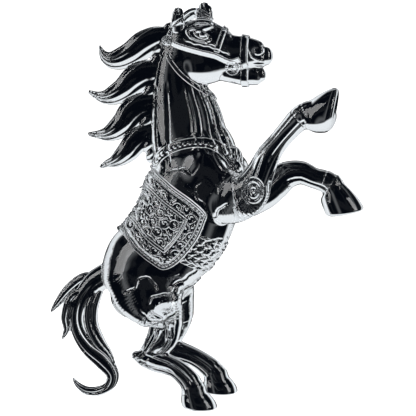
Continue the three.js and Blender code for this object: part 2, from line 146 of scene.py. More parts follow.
class Limb:
    """A form with an elliptical section that follows a curve through its stations.

    A station is x, y, z, half depth in the plane of the body, half width across it.
    """

    def __init__(self, stations, per_span=4, blend=2.0, relief=None):
        rows, self.number = spline(stations, per_span)
        self.centre = rows[:, :3]
        self.size = np.maximum(rows[:, 3:5], 0.25)
        tangent = np.gradient(self.centre, axis=0)
        self.tangent = tangent / np.linalg.norm(tangent, axis=1)[:, None]
        across = np.array([0, 1, 0]) - self.tangent * self.tangent[:, 1:2]
        self.across = across / np.linalg.norm(across, axis=1)[:, None]
        self.deep = np.cross(self.across, self.tangent)
        self.blend = blend
        self.relief = relief
        self.set_box()

    def set_box(self):
        reach = self.size.max(1)[:, None] + FAR
        self.low = (self.centre - reach).min(0)
        self.high = (self.centre + reach).max(0)

    def local(self, p):
        """The distance, the place along the limb, and the angle round its section."""
        i, t = nearest(p, self.centre)
        t = t[:, None]

        def mix(rows):
            return rows[i] * (1 - t) + rows[i + 1] * t

        offset = p - mix(self.centre)
        size = mix(self.size)
        wide = np.einsum("ij,ij->i", offset, mix(self.across))
        deep = np.einsum("ij,ij->i", offset, mix(self.deep))
        along = np.einsum("ij,ij->i", offset, mix(self.tangent))
        end = np.minimum(size[:, 0], size[:, 1])
        x, y, z = wide / size[:, 1], deep / size[:, 0], along / end
        k0 = np.sqrt(x * x + y * y + z * z) + 1e-6
        k1 = np.sqrt((x / size[:, 1]) ** 2 + (y / size[:, 0]) ** 2 + (z / end) ** 2) + 1e-6
        number = self.number[i] * (1 - t[:, 0]) + self.number[i + 1] * t[:, 0]
        return k0 * (k0 - 1) / k1, number, np.arctan2(x, y)

    def field(self, p):
        distance = np.full(len(p), FAR, np.float32)
        near = np.flatnonzero(((p > self.low) & (p < self.high)).all(1))
        if len(near):
            d, number, angle = self.local(p[near])
            if self.relief:
                d = d + self.relief(p[near], number, angle)
            distance[near] = np.minimum(d, FAR)
        return distance

    def past_start(self, p):
        return (p - self.centre[0]) @ self.tangent[0]

    def past_end(self, p):
        return (p - self.centre[-1]) @ self.tangent[-1]

    def part(self, first, last):
        """The stretch of this limb between two of its stations."""
        piece = copy.copy(self)
        i, j = np.searchsorted(self.number, [first, last])
        for name in ("number", "centre", "size", "tangent", "across", "deep"):
            setattr(piece, name, getattr(self, name)[i:j + 1])
        piece.set_box()
        return piece


class Ball:
    """An ellipsoid with its own axes: a middle, three radii and a turn about Y."""

    def __init__(self, centre, radii, turn=0, blend=2.0):
        self.centre = np.array(centre, np.float32)
        self.radii = np.array(radii, np.float32)
        c, s = math.cos(math.radians(turn)), math.sin(math.radians(turn))
        self.axes = np.array([[c, 0, s], [0, 1, 0], [-s, 0, c]], np.float32)
        reach = self.radii.max() + FAR
        self.low, self.high = self.centre - reach, self.centre + reach
        self.blend = blend

    def field(self, p):
        distance = np.full(len(p), FAR, np.float32)
        near = np.flatnonzero(((p > self.low) & (p < self.high)).all(1))
        if len(near):
            q = (p[near] - self.centre) @ self.axes.T
            k0 = np.linalg.norm(q / self.radii, axis=1) + 1e-6
            k1 = np.linalg.norm(q / self.radii ** 2, axis=1) + 1e-6
            distance[near] = np.minimum(k0 * (k0 - 1) / k1, FAR)
        return distance


# ---- the horse's own forms ------------------------------------------------
SPINE = [
    (-15, 0, 177, 8.5, 6.2), (-15.6, 0, 166, 11.5, 7.4), (-14, 0, 155, 15, 8),
    (-11.4, 0, 144, 18, 9.6), (-9.4, 0, 134, 19.2, 12.4), (-7, 0, 126, 21, 15.5),
    (-5.5, 0, 116, 23, 18.5), (-8, 0, 104, 24.3, 20), (-12, 0, 92, 24.4, 20.6),
    (-19, 0, 81, 24, 20.4), (-26, 0, 73, 23.4, 20), (-32, 0, 66, 23, 19.6),
    (-36.5, 0, 59, 19.5, 18), (-38, 0, 53, 12, 13),
]
NECK_BASE, LOIN = 5, 10
HEAD = [
    (-21, 0, 180, 7, 4.6), (-15, 0, 179, 12, 7.4), (-8, 0, 177.3, 15.6, 8.2),
    (-1, 0, 176, 16, 8), (6, 0, 175.3, 13.6, 7), (12, 0, 174.9, 10.6, 6),
    (18, 0, 175.6, 8.6, 5.4), (23, 0, 175.4, 7.4, 5.8), (26.6, 0, 174.6, 6, 5.2),
    (28.6, 0, 174.6, 4.6, 3.8),
]
LOWER_JAW = [
    (3, 0, 168, 5, 4), (10, 0, 166, 4.4, 4.4), (16, 0, 164.6, 4.2, 4.4),
    (21, 0, 164.8, 4.6, 4.2), (24, 0, 165.2, 4.8, 4), (26.2, 0, 165.6, 3.6, 2.8),
]
FRONT_RIGHT = [
    (5, -10, 108, 13, 8), (14, -14, 106, 13, 8.4), (23, -17, 109, 10.4, 8),
    (28.4, -18.4, 118, 7.2, 7), (33, -18.6, 127.6, 5.9, 6), (38, -18.4, 134.5, 5, 5.2),
    (43, -18.2, 140.4, 5.2, 5), (48, -18, 145.8, 5.8, 5.6), (52, -18, 148.2, 5.8, 5.8),
]
FRONT_LEFT = [
    (4, 10, 104, 13, 8), (14, 13, 102.5, 11.5, 8), (24, 15.6, 104.6, 9.4, 7.6),
    (30.8, 16.8, 108.8, 8.2, 7.2), (37.2, 17.6, 113.6, 7, 6.6), (44.4, 17.8, 115, 6, 5.8),
    (51, 17.8, 112.6, 5.2, 5.4), (56.6, 17.8, 111, 5.6, 5.6), (60, 17.8, 109, 5.8, 5.8),
]
KNEE = 4
STANCE = 17
HIND_RIGHT = [
    (-31, -8, 66, 20, 11), (-28.4, -10.4, 57.6, 18.5, 11.6), (-22.6, -12.6, 49, 14, 9.6),
    (-18.8, -14, 42.4, 8.6, 8), (-20, -15.6, 36, 7.9, 6.6), (-23.8, -16.6, 30, 6.6, 5.4),
    (-28.4, -STANCE, 25.4, 4.4, 4.4),
]
HIND_LEFT = [
    (-28, 8, 65, 19, 11), (-25, 10.4, 56, 17.5, 11.6), (-20.6, 12.6, 48, 12.6, 9.6),
    (-18.4, 14, 42, 8.4, 8), (-19.8, 15.4, 36, 7.6, 6.6), (-22.4, 16.4, 29.4, 6.4, 5.4),
    (-26, STANCE, 23.8, 4.4, 4.4),
]
STIFLE = 3
HOCK_RIGHT = [
    (-33.6, -STANCE, 25.6, 2.2, 2.4), (-30, -STANCE, 24.8, 4.4, 3.8),
    (-23.6, -STANCE, 23.4, 5.6, 5.2), (-13.6, -STANCE, 20, 4.9, 4.4),
    (-6.6, -STANCE, 14, 5.4, 5.2), (-4, -STANCE, 8.6, 6.2, 6),
]
HOCK_LEFT = [
    (-31.4, STANCE, 22.8, 2.2, 2.4), (-27.6, STANCE, 22.4, 4.4, 3.8),
    (-21, STANCE, 21.4, 5.6, 5.2), (-10.6, STANCE, 18.2, 4.9, 4.4),
    (-2.4, STANCE, 13.2, 5.4, 5.2), (1.4, STANCE, 8.6, 6.2, 6),
]
# Each hoof: middle and normal of the coronet and of the sole, the sole's radius, and
# how far its edge is rounded.
HOOVES = {
    "front_right_hoof": (
        (51, -18, 147.8), (-0.87, 0, -0.5), (65.4, -18, 150.6), (-0.985, 0, 0.17), 11.2, 3.4,
    ),
    "front_left_hoof": ((60, 17.8, 109), (-0.8, 0, 0.6), (67.4, 17.8, 95), (-0.2, 0, 0.98), 9.6, 1.8),
    "hind_right_hoof": ((-3.4, -STANCE, 8), (0, 0, 1), (-0.8, -STANCE, 0), (0, 0, 1), 8.5, 1.4),
    "hind_left_hoof": ((2, STANCE, 8), (0, 0, 1), (4, STANCE, 0), (0, 0, 1), 8.5, 1.4),
}
CORONET = 6.0
HOOF_LENGTH = 1.12  # a hoof's length over its breadth


class Hoof:
    """A hoof flares from its coronet to a flat sole, with a soft ring at the coronet."""

    def __init__(self, top, top_normal, sole, sole_normal, radius, edge):
        self.sole, self.normal = np.array(sole, np.float32), np.array(sole_normal, np.float32)
        self.normal /= np.linalg.norm(self.normal)
        self.top = np.array(top, np.float32)
        self.top_normal = np.array(top_normal, np.float32)
        self.top_normal /= np.linalg.norm(self.top_normal)
        self.radius, self.edge = radius, edge
        self.height = float((self.top - self.sole) @ self.normal)
        self.low = np.minimum(self.sole, self.top) - radius - FAR
        self.high = np.maximum(self.sole, self.top) + radius + FAR
        self.blend = 1.8

    def field(self, p):
        distance = np.full(len(p), FAR, np.float32)
        near = np.flatnonzero(((p > self.low) & (p < self.high)).all(1))
        if not len(near):
            return distance
        q = p[near]
        up = (q - self.sole) @ self.normal
        share = up / self.height
        middle = self.sole + share[:, None] * (self.top - self.sole)
        side = q - middle
        side -= (side @ self.normal)[:, None] * self.normal
        side[:, 1] *= HOOF_LENGTH
        radius = self.radius + (CORONET - self.radius) * np.clip(share, -0.2, 1.2)
        radius = radius + 1.2 * np.clip(4 * share * (1 - share), 0, 1)
        radius = radius + 0.15 * bump(share - 0.93, 0.12)
        wall = (np.linalg.norm(side, axis=1) - radius) * 0.92
        top = (q - self.top) @ self.top_normal - 0.4
        edge = self.edge
        a, b = np.maximum(wall + edge, 0), np.maximum(-up + edge, 0)
        rounded = np.minimum(np.maximum(wall, -up) + edge, 0) + np.sqrt(a * a + b * b) - edge
        distance[near] = np.minimum(-smooth_min(-rounded, -top, 1.2), FAR)
        return distance


# ---- hair: each lock is a bundle of strands -------------------------------
def strands(stations, count, spread, thin, shorten):
    """Splits a lock into strands that lie side by side and part towards their tips."""
    rows, number = spline(stations, 3)
    last = number[-1]
    tangent = np.gradient(rows[:, :3], axis=0)
    tangent /= np.linalg.norm(tangent, axis=1)[:, None]
    across = np.array([0, 1, 0]) - tangent * tangent[:, 1:2]
    across /= np.linalg.norm(across, axis=1)[:, None]
    deep = np.cross(across, tangent)
    bundle = []
    for k in range(count):
        side = (k - (count - 1) / 2) / max(1, (count - 1) / 2)
        share = number / last
        offset = side * rows[:, 3] * (1 - thin) * (1 + spread * share ** 2)
        lean = math.sin(2.4 * k + 1) * rows[:, 4] * 0.45 * (0.4 + share)
        centre = rows[:, :3] + deep * offset[:, None] + across * lean[:, None]
        keep = share <= 1 - shorten * abs(math.sin(1.7 * k + 0.6 + count))
        size = rows[:, 3:5] * np.array([thin * 1.15, 0.8])
        end = keep.sum() - 1
        taper = np.clip((end - np.arange(len(rows))) / (0.45 * end), 0, 1) ** 0.7
        size = np.maximum(size * taper[:, None], 0.35)
        bundle.append(Limb(np.hstack([centre, size])[:end + 1:2], 6, 0.5, strand_groove))
    return bundle


MANE = {
    "mane_lock_1": [
        (-20, -1, 184, 4.5, 3.6), (-29, -1.6, 181.6, 6.4, 4), (-38, -1.6, 175.4, 5.8, 3.8),
        (-46.4, -1, 172, 4.6, 3.2), (-52, -0.4, 173.4, 3.2, 2.4), (-54.6, 0, 177.6, 1.6, 1.4),
        (-54.8, 0, 181, 0.6, 0.6),
    ],
    "mane_lock_2": [
        (-25, -1, 166, 6, 3.8), (-34, -1.8, 164, 7, 4), (-42, -1.8, 157.6, 5.6, 3.6),
        (-50, -1.2, 153.6, 4.2, 3), (-56.4, -0.6, 154, 2.8, 2.2), (-62.6, 0, 157, 0.7, 0.7),
    ],
    "mane_lock_3": [
        (-28, -1, 150, 6, 3.8), (-36, -1.8, 147.4, 7, 4), (-42.4, -1.8, 140.4, 5.8, 3.6),
        (-49.6, -1.2, 135.4, 4.2, 3), (-56, -0.6, 134.4, 2.8, 2.2), (-63.6, 0, 134.6, 0.7, 0.7),
    ],
    "mane_lock_4": [
        (-28, -0.8, 136, 5, 3.6), (-35, -1.6, 132.6, 5.8, 3.8), (-40.6, -1.6, 126.4, 5, 3.4),
        (-46.6, -1, 121.6, 3.4, 2.6), (-51.4, -0.4, 119.8, 2.4, 2), (-57, 0, 116.8, 0.6, 0.6),
    ],
}
TAIL = [
    (-50, 0, 64, 7, 7), (-59, 0, 58.6, 6, 5.6), (-65.4, 0, 51, 4.6, 4.8),
    (-68.2, 0, 41.6, 3.9, 4.4), (-67, 0, 33, 3.8, 4.2), (-62, 0, 25, 4.2, 4),
    (-54.6, 0, 18.4, 4.6, 3.8), (-49.6, 0, 11.4, 3.4, 3.4), (-51.4, 0, 5.4, 2.8, 3.1),
    (-57.4, 0, 2.2, 2.6, 2.9), (-63.4, 0, 2.3, 2.2, 2.4), (-68, 0, 5.2, 1.4, 1.6),
    (-70.4, 0, 8.6, 0.5, 0.6),
]
TAIL_STRANDS = {
    "tail_strand_outer": [
        (-57, 1, 61.6, 3, 3), (-65, 1.4, 59.6, 3.6, 3.2), (-72.4, 1.2, 54, 3.2, 3),
        (-78, 0.8, 47.6, 2, 2), (-81.6, 0.4, 43, 0.6, 0.6),
    ],
    "tail_strand_middle": [
        (-63, -1, 55, 3, 3), (-70, -2, 50, 3.4, 3.2), (-73.2, -2, 41, 2.8, 2.8),
        (-73, -1.6, 34.6, 1.8, 1.8), (-75.4, -1, 29.4, 0.6, 0.6),
    ],
    "tail_strand_inner": [
        (-56.6, -0.4, 55.4, 3, 3.4), (-60, -0.6, 46.4, 3.8, 3.8), (-60.2, -0.6, 37.4, 3.8, 3.8),
        (-56.6, -0.4, 28.4, 3.4, 3.4), (-51.6, 0, 22, 2, 2.4), (-48.6, 0, 16.6, 0.7, 0.9),
    ],
}
FORELOCK = [
    (-15, 0, 189, 2.4, 2.4), (-10.5, 0, 193.6, 2.8, 2.8), (-6.4, -0.6, 195.6, 2.6, 2.4),
    (-1.6, -1.8, 195, 1.8, 1.8), (2.6, -2.4, 192.6, 0.7, 0.9),
]
CREST_BRAID = [
    (-20, 0, 188, 2.6, 3.2), (-23.6, 0, 180, 3.4, 3.6), (-26.6, 0, 168, 3.8, 3.8),
    (-29, 0, 155, 4, 4), (-30.4, 0, 142, 4, 4), (-30, 0, 131, 3.4, 3.8),
    (-28.8, 0, 123, 2, 2.6),
]
EAR_RIGHT = [
    (-14, -4.5, 187, 2.6, 2.2), (-14, -5.4, 191.4, 3.2, 2.4), (-13.8, -6.2, 195, 2.9, 2.1),
    (-13.6, -6.6, 196.6, 2.3, 1.8),
]
EAR_LEFT = [
    (-3.4, 4, 186.5, 3.2, 2.4), (-2.8, 5, 191.4, 4.2, 2.8), (-2.8, 5.8, 196.2, 4.0, 2.6),
    (-3.4, 6.2, 198.6, 2.4, 1.8),
]


def hair_grooves(count, depth):
    """Narrow lines combed along a lock."""
    return lambda p, number, angle: depth * np.cos((count * angle + 0.7 * number) / 2) ** 8


strand_groove = hair_grooves(2, 0.5)


def ear_hollow(facing):
    """A hollow down the front of an ear, and a raised rim round it."""
    return lambda p, number, angle: (
        1.2 * bump(angle - facing, 0.8) * smooth_step(number, 0.2, 0.8)
        - 0.3 * bump(np.abs(angle - facing) - 0.95, 0.3)) * smooth_step(2.9, 2.2, number)


ELBOW_RINGS, RING_PITCH = (26.6, 110.6), 2.0


def elbow_rings(p):
    """Rings one inside the other over the right elbow, like the ripples round a stone."""
    r = np.hypot(p[:, 0] - ELBOW_RINGS[0], 0.75 * (p[:, 2] - ELBOW_RINGS[1]))
    rings = 0.4 * (1 - np.cos(2 * math.pi * r / RING_PITCH))
    return rings * (1 - smooth_step(r, 4.4, 6.2)) * smooth_step(-p[:, 1], 9, 12)


def leg_grooves(p, number, angle):
    """Tendons down the lower leg, and creases round the joints."""
    lower = smooth_step(number, 3.4, 4.4)
    tendons = 0.7 * bump(np.abs(angle) - 1.15, 0.22) + 0.4 * bump(np.abs(angle) - 2.2, 0.2)
    muscles = 0.5 * bump(np.abs(angle) - 1.0 - 0.25 * number, 0.2) * (1 - lower)
    creases = 0.35 * bump(np.sin(3.2 * number), 0.2) * smooth_step(number, 6.0, 6.6)
    shape = tendons * lower + muscles * smooth_step(number, 1.4, 2.2) + creases
    return shape + (flank_folds(p) + elbow_rings(p)) * (1 - lower)


def braid_twist(p, number, angle):
    """Strands that wind round the braid."""
    return 0.35 - 1.0 * np.sin(angle - 5.5 * number) ** 2


FOLDS = [
    [(-40, 58), (-34, 60), (-30, 66), (-24, 64), (-21, 58)],
    [(-27, 52), (-23, 57), (-16, 58), (-12, 62)],
    [(-19, 117), (-10, 120), (-4, 118), (-1, 124)],
    [(2, 102), (-3, 108), (-1, 114), (6, 113), (9, 108)],
    [(6, 96), (10, 102), (15, 104)],
    [(-31, 50), (-26, 45), (-19, 45), (-12, 50)],
    [(-26, 42), (-20, 41), (-14, 45)],
    [(-17, 61), (-9, 65), (-2, 71)],
    [(-14, 57), (-8, 60), (0, 66)],
    [(-2, 80), (3, 84), (9, 84)],
]


def flank_folds(p):
    """Soft wandering folds over the shoulder and the haunch."""
    carve = np.zeros(len(p), np.float32)
    for track in fold_tracks:
        near = track.near(p, 1.5)
        beside, along = track.at(p[near])
        taper = np.clip(np.minimum(along, track.along[-1] - along) / 4, 0, 1)
        carve[near] = np.maximum(carve[near], 0.8 * bump(beside + 0.3 * np.sin(along), 1.0) * taper)
    return carve


def neck_flutes(p, number, angle):
    """Long folds down the throat, and softer ones along the side of the neck."""
    side = math.pi - np.abs(angle)
    down = smooth_step(number, 1.2, 2.4) * (1 - smooth_step(number, 4.6, 5.6))
    folds = sum(
        depth * bump(side - place - 0.05 * (number - 3), width)
        for place, depth, width in [
            (0.22, 0.9, 0.10), (0.46, 1.2, 0.10), (0.72, 1.2, 0.10), (0.98, 1.1, 0.10),
            (1.26, 0.8, 0.10), (2.0, 0.9, 0.10), (2.5, 0.8, 0.08),
        ]
    )
    return folds * down + flank_folds(p)


def cannon_tendons(p, number, angle):
    """Two tendons down each side of the lower hind leg."""
    side = np.abs(angle)
    long = smooth_step(number, 1.6, 2.4) * (1 - smooth_step(number, 4.0, 4.6))
    pastern = 0.2 * bump(number - 4.35, 0.22)
    return (0.8 * bump(side - 1.9, 0.24) + 0.6 * bump(side - 1.0, 0.2)) * long + pastern


# ---- carving on the head --------------------------------------------------
EYE = (-1.4, 185.2)
LID_TURN = -0.35
NOSTRIL = (26.4, 177.4)
FACE_LINES = [
    [(-11, 183), (-6, 181.2), (2, 179.6), (8, 177.6), (13, 175)],
    [(-9, 184.6), (-6, 183), (0, 181.4), (7, 179.4)],
    [(6, 188.6), (13, 186), (19, 184.4), (25, 182.6)],
    [(21, 180), (22, 176), (25, 173), (29, 172.4)],
    [(-8, 189), (-3, 190.6), (2, 189.6), (5, 187)],
]


def hill(p, centre, radius_x, radius_z, turn=0.0):
    """A smooth hill in the X, Z plane, the same on both sides of the head."""
    c, s = math.cos(turn), math.sin(turn)
    x, z = p[:, 0] - centre[0], p[:, 2] - centre[1]
    return bump(np.hypot((c * x + s * z) / radius_x, (c * z - s * x) / radius_z), 1.0)


def rim(p, centre, radius_x, radius_z, width, turn=0.0):
    """A raised ring in the X, Z plane."""
    c, s = math.cos(turn), math.sin(turn)
    x, z = p[:, 0] - centre[0], p[:, 2] - centre[1]
    r = np.hypot((c * x + s * z) / radius_x, (c * z - s * x) / radius_z)
    return bump((r - 1) * min(radius_x, radius_z), width)


def head_carving(p, number, angle):
    """The eye with its lids, ridges over the cheek, the nostril and the lips."""
    side = smooth_step(np.abs(p[:, 1]), 2.0, 4.0)
    outer_lid = -0.9 * rim(p, (-3.6, 184.8), 5.8, 2.5, 0.6, LID_TURN)
    lids = outer_lid - 0.8 * rim(p, (-2.2, 185.1), 3.2, 1.5, 0.5, LID_TURN)
    eye = lids + 0.5 * hill(p, (-2.8, 185), 6.4, 3.2, LID_TURN) + 0.7 * hill(p, EYE, 0.8, 0.8)
    ridges = np.zeros(len(p), np.float32)
    for track in face_tracks:
        near = track.near(p, 1.5)
        beside, along = track.at(p[near])
        taper = np.clip(np.minimum(along, track.along[-1] - along) / 3, 0, 1)
        ridges[near] -= 0.7 * bump(beside + 0.2 * np.sin(1.3 * along), 0.65) * taper
    nostril = (1.6 * hill(p, NOSTRIL, 1.5, 1.0, 0.5) - 0.6 * rim(p, NOSTRIL, 1.9, 1.4, 0.6, 0.5))
    mouth = 0.9 * hill(p, (20.4, 168.4), 3.6, 0.8, 0.1) - 0.5 * hill(p, (26, 170.6), 4, 1.2)
    return side * (eye + ridges + nostril + mouth)


# ---- relief laid on the body: straps, cloth, ornament ---------------------
class Track:
    """A line in the X, Z plane: how far a point is beside it, and how far along it."""

    def __init__(self, points, closed=False):
        rows = [(x, 0, z) for x, z in points]
        if closed:
            rows.append(rows[0])
        self.points = spline(rows, 5)[0][:, [0, 2]]
        self.steps = np.diff(self.points, axis=0)
        self.lengths = np.hypot(self.steps[:, 0], self.steps[:, 1])
        self.along = np.concatenate([[0], np.cumsum(self.lengths)]).astype(np.float32)

    def near(self, p, reach):
        """Which points lie in the box round the track."""
        flat = p[:, [0, 2]]
        return ((flat > self.points.min(0) - reach) & (flat < self.points.max(0) + reach)).all(1)

    def at(self, p):
        q = p[:, [0, 2]]
        i, t = nearest(q, self.points)
        step, offset = self.steps[i], q - self.points[i]
        cross = step[:, 0] * offset[:, 1] - step[:, 1] * offset[:, 0]
        offset = offset - t[:, None] * step
        beside = np.hypot(offset[:, 0], offset[:, 1]) * np.where(cross < 0, -1, 1)
        return beside, self.along[i] + t * self.lengths[i]


def raised(inside, height, edge=0.6):
    """The height of a band with quarter-round edges, given the distance inside it."""
    t = np.clip(inside / edge, 0, 1)
    return np.where(inside > 0, height * np.sqrt(1 - (1 - t) ** 2), 2.5 * inside)


class Strap:
    """A band along a line: inside() is the distance from its edges, positive within."""

    def __init__(self, points, width, height, detail=None, side=0):
        self.track, self.width, self.height = Track(points), width, height
        self.detail, self.side = detail, side
        self.low = self.track.points.min(0) - width / 2 - 1
        self.high = self.track.points.max(0) + width / 2 + 1

    def measure(self, p):
        beside, along = self.track.at(p)
        ends = np.minimum(along - 0.05, self.track.along[-1] - 0.05 - along)
        inside = np.minimum(self.width / 2 - np.abs(beside), ends)
        if self.side:
            inside = np.minimum(inside, self.side * p[:, 1] - 1)
        return inside, beside, along

    def inside(self, p):
        return self.measure(p)[0]

    def thickness(self, p):
        inside, beside, along = self.measure(p)
        detail = self.detail(beside, along) if self.detail else 0
        return raised(inside, self.height + detail)


def beads(spacing, height, width):
    """A row of beads down the middle of a strap."""
    return lambda offset, along: height * bump(offset, width) * np.abs(
        np.cos(math.pi * along / spacing)) ** 0.7


def stitched(half_width):
    """A raised line along each edge of a strap."""
    return lambda offset, along: 0.25 * bump(np.abs(offset) - half_width + 0.45, 0.35)


def leaning(beside, along):
    """A strap whose face leans: it stands out most along its upper edge."""
    return 0.62 * beside


CLOTH_OUTLINE = [
    (-40, 124), (-23.6, 117.6), (-13.4, 111), (-4.3, 105), (2.3, 98.6), (1.8, 94), (-2.3, 84.8),
    (-9.4, 75.6), (-15, 71), (-19.5, 69.9), (-23.6, 72.3), (-28.7, 75.7), (-33.8, 79.6),
    (-40.4, 85.5), (-56, 94),
]
COLLAR_LINE = [
    (-36, 113), (-27, 120), (-22, 125.6), (-16, 129.6), (-9, 132), (-2, 132.8), (5, 131.6),
    (11, 127.4), (17, 120), (25, 111),
]
BORDER = 3.0
PANEL = 5.5  # how far the frame of the inner panel lies inside the border


def scroll_relief(p):
    """Small scrolls and rosettes that fill the saddle cloth, on a staggered grid."""
    turn = math.radians(52)
    u = p[:, 0] * math.cos(turn) + p[:, 2] * math.sin(turn)
    v = -p[:, 0] * math.sin(turn) + p[:, 2] * math.cos(turn)
    pitch = 5.4
    row = np.floor(v / (pitch * 0.86))
    best = np.full(len(p), np.inf, np.float32)
    chosen = np.zeros((3, len(p)), np.float32)
    for dr in (-1, 0, 1):
        r = row + dr
        shift = np.where(r % 2 == 0, 0.0, pitch / 2)
        column = np.round((u - shift) / pitch)
        for dc in (-1, 0, 1):
            c = column + dc
            cu = c * pitch + shift + 0.5 * np.sin(3.1 * r + 1.7 * c)
            cv = (r + 0.5) * pitch * 0.86 + 0.5 * np.cos(2.3 * c + 1.1 * r)
            square = (u - cu) ** 2 + (v - cv) ** 2
            closer = square < best
            best = np.where(closer, square, best)
            for k, value in enumerate((u - cu, v - cv, (r * 5 + c * 3) % 4)):
                chosen[k] = np.where(closer, value, chosen[k])
    radius, angle = np.sqrt(best), np.arctan2(chosen[1], chosen[0])
    hand = np.where(chosen[2] % 2 == 0, 1.0, -1.0)
    spiral = np.sin((hand * angle + 2.1 * radius + chosen[2]) / 2) ** 2
    petals = np.sin(2.5 * angle + chosen[2]) ** 2 * bump(radius - 1.5, 1.3) + bump(radius, 0.7)
    scroll = np.maximum(spiral ** 3 * bump(radius, 3.4) ** 0.5, 0.8 * bump(radius - 2.5, 0.5))
    return np.where(chosen[2] == 3, petals, scroll)


class Cloth:
    """The saddle cloth's field of scrolls, or the double rope along its edge."""

    edge = Track(CLOTH_OUTLINE, closed=True)
    low, high = edge.points.min(0) - 1, edge.points.max(0) + 1

    def __init__(self, is_border):
        self.is_border = is_border

    def measure(self, p):
        beside, along = self.edge.at(p)
        return -beside * CLOTH_TURN, along

    def inside(self, p):
        depth = self.measure(p)[0]
        return np.minimum(depth, BORDER - depth) if self.is_border else depth - BORDER - 0.1

    def thickness(self, p):
        depth, along = self.measure(p)
        if self.is_border:
            return self.rope(depth, along)
        inside = depth - BORDER - 0.1
        panel = bump(inside - PANEL, 0.5) + bump(inside - PANEL - 1.3, 0.4)
        plain = smooth_step(np.abs(inside - PANEL - 0.6), 1.0, 1.8) * smooth_step(inside, 0.3, 1.2)
        return raised(inside, 0.75 + 0.8 * scroll_relief(p) * plain + 0.8 * panel, 0.4)

    def rope(self, depth, along):
        """A smooth bead along the very edge, then a row of scallops between two threads."""
        bead = 1.2 * bump(depth - 0.65, 0.75) ** 0.5
        scallops = 0.8 * bump(depth - 1.9, 0.7) * np.abs(np.sin(math.pi * along / 2.1)) ** 0.7
        thread = 0.8 * bump(depth - 2.75, 0.3)
        return raised(np.minimum(depth, BORDER - depth), 0.7 + bead + scallops + thread, 0.3)


# The outline runs clockwise or not: a point well inside it tells which.
CLOTH_TURN = -float(np.sign(Cloth.edge.at(np.array([[-20.0, 0.0, 95.0]], np.float32))[0][0]))


def girth_ribs(offset, along):
    """Wavy ribs across the girth, crossed by fine lines along it."""
    bent = along + 0.9 * np.sin(1.1 * offset) + 0.5 * np.sin(2.3 * offset + 1)
    return -0.5 * np.abs(np.sin(math.pi * bent / 3.4)) ** 6 - 0.3 * np.cos(0.9 * offset) ** 12


CHEEK_LINE = [
    (-17, 181), (-12.6, 179.3), (-2.5, 176.6), (5.1, 174.7), (11.7, 171.8), (16.8, 173.2),
]
HEAD_PIECES = ("head", "lower_jaw")
BODY_PIECES = ("neck", "torso", "hindquarters")
# Each relief piece: how thick it is at a point, the pieces it lies on, and the relief
# pieces that cut into it.
RELIEFS = {
    "bridle_cheek_right": (Strap(CHEEK_LINE, 2.8, 1.1, leaning, -1), HEAD_PIECES, ()),
    "bridle_cheek_left": (Strap(CHEEK_LINE, 2.8, 1.1, leaning, 1), HEAD_PIECES, ()),
    "bridle_crown": (
        Strap([(-16.6, 199), (-18.6, 188), (-19, 184.4)], 3.2, 1.0, beads(1.8, 0.4, 0.9)),
        HEAD_PIECES, ("bridle_cheek_right", "bridle_cheek_left"),
    ),
    "bridle_noseband": (
        Strap([(18.8, 190), (18.8, 156)], 3.8, 1.0, stitched(1.9)),
        HEAD_PIECES, ("bridle_cheek_right", "bridle_cheek_left"),
    ),
    "bridle_browband": (
        Strap([(11, 196), (7.6, 184), (5.4, 176.6)], 2.8, 0.9, stitched(1.4)),
        HEAD_PIECES, ("bridle_cheek_right", "bridle_cheek_left"),
    ),
    "throatlatch": (
        Strap([(-19.6, 176), (-18, 172.6), (-12, 165.4), (-3.5, 158.8), (6, 153)], 2.2, 0.9),
        ("head", "neck"), ("bridle_cheek_right", "bridle_cheek_left", "bridle_crown"),
    ),
    "saddle_cloth_border": (Cloth(True), BODY_PIECES, ()),
    "saddle_cloth": (Cloth(False), BODY_PIECES, ("saddle_cloth_border",)),
    "breast_collar": (
        Strap(COLLAR_LINE, 4.8, 0.9, beads(2.6, 0.8, 1.2)),
        ("neck", "torso"), ("saddle_cloth", "saddle_cloth_border"),
    ),
    "girth": (
        Strap([(-33, 98), (21, 64)], 17.6, 0.8, girth_ribs),
        ("torso",), ("saddle_cloth", "saddle_cloth_border"),
    ),
}


# ---- which form belongs to which piece ------------------------------------
ROSETTE_AT, ROSETTE_OUT = (-19.6, 182), 5.8
BIT_RING_AT, BIT_RING_OUT, BIT_RING, BIT_WIRE = (13.4, 169), 8.2, 2.8, 0.8
ORNAMENT_AT, ORNAMENT_SIZE = (12.4, -2, 123), (6.0, 7.6, 8.0)


class Flower(Ball):
    """A ball whose surface is carved in petals round an axis in the X, Y plane."""

    def __init__(self, centre, radii, axis, petals, depth):
        super().__init__(centre, radii, 0, 0.5)
        self.axis = np.array([math.cos(axis), math.sin(axis), 0], np.float32)
        self.petals, self.depth = petals, depth

    def field(self, p):
        d = super().field(p)
        q = (p - self.centre) / self.radii
        side = q @ np.array([-self.axis[1], self.axis[0], 0], np.float32)
        angle = np.arctan2(q[:, 2], side)
        radius = np.hypot(q[:, 2], side)
        petal = np.abs(np.sin(self.petals * angle / 2 + 3 * np.pi * np.floor(radius * 2.2) / 2))
        ring = np.abs(np.sin(np.pi * np.clip(radius * 2.2, 0, 3)))
        carve = self.depth * (1 - np.minimum(petal, ring) ** 0.5)
        return np.where(d < FAR, np.minimum(d + carve * (radius > 0.2), FAR), FAR)


class Ring:
    """A ring round an axis along Y, with fine beads on its wire."""

    def __init__(self, centre, radius, wire):
        self.centre = np.array(centre, np.float32)
        self.radius, self.wire = radius, wire
        self.low = self.centre - radius - wire - 1
        self.high = self.centre + radius + wire + 1

    def field(self, p):
        q = p - self.centre
        angle = np.arctan2(q[:, 2], q[:, 0])
        wire = self.wire * (0.9 + 0.1 * np.cos(16 * angle))
        return np.hypot(np.hypot(q[:, 0], q[:, 2]) - self.radius, q[:, 1]) - wire


face_tracks = [Track(points) for points in FACE_LINES]
fold_tracks = [Track(points) for points in FOLDS]


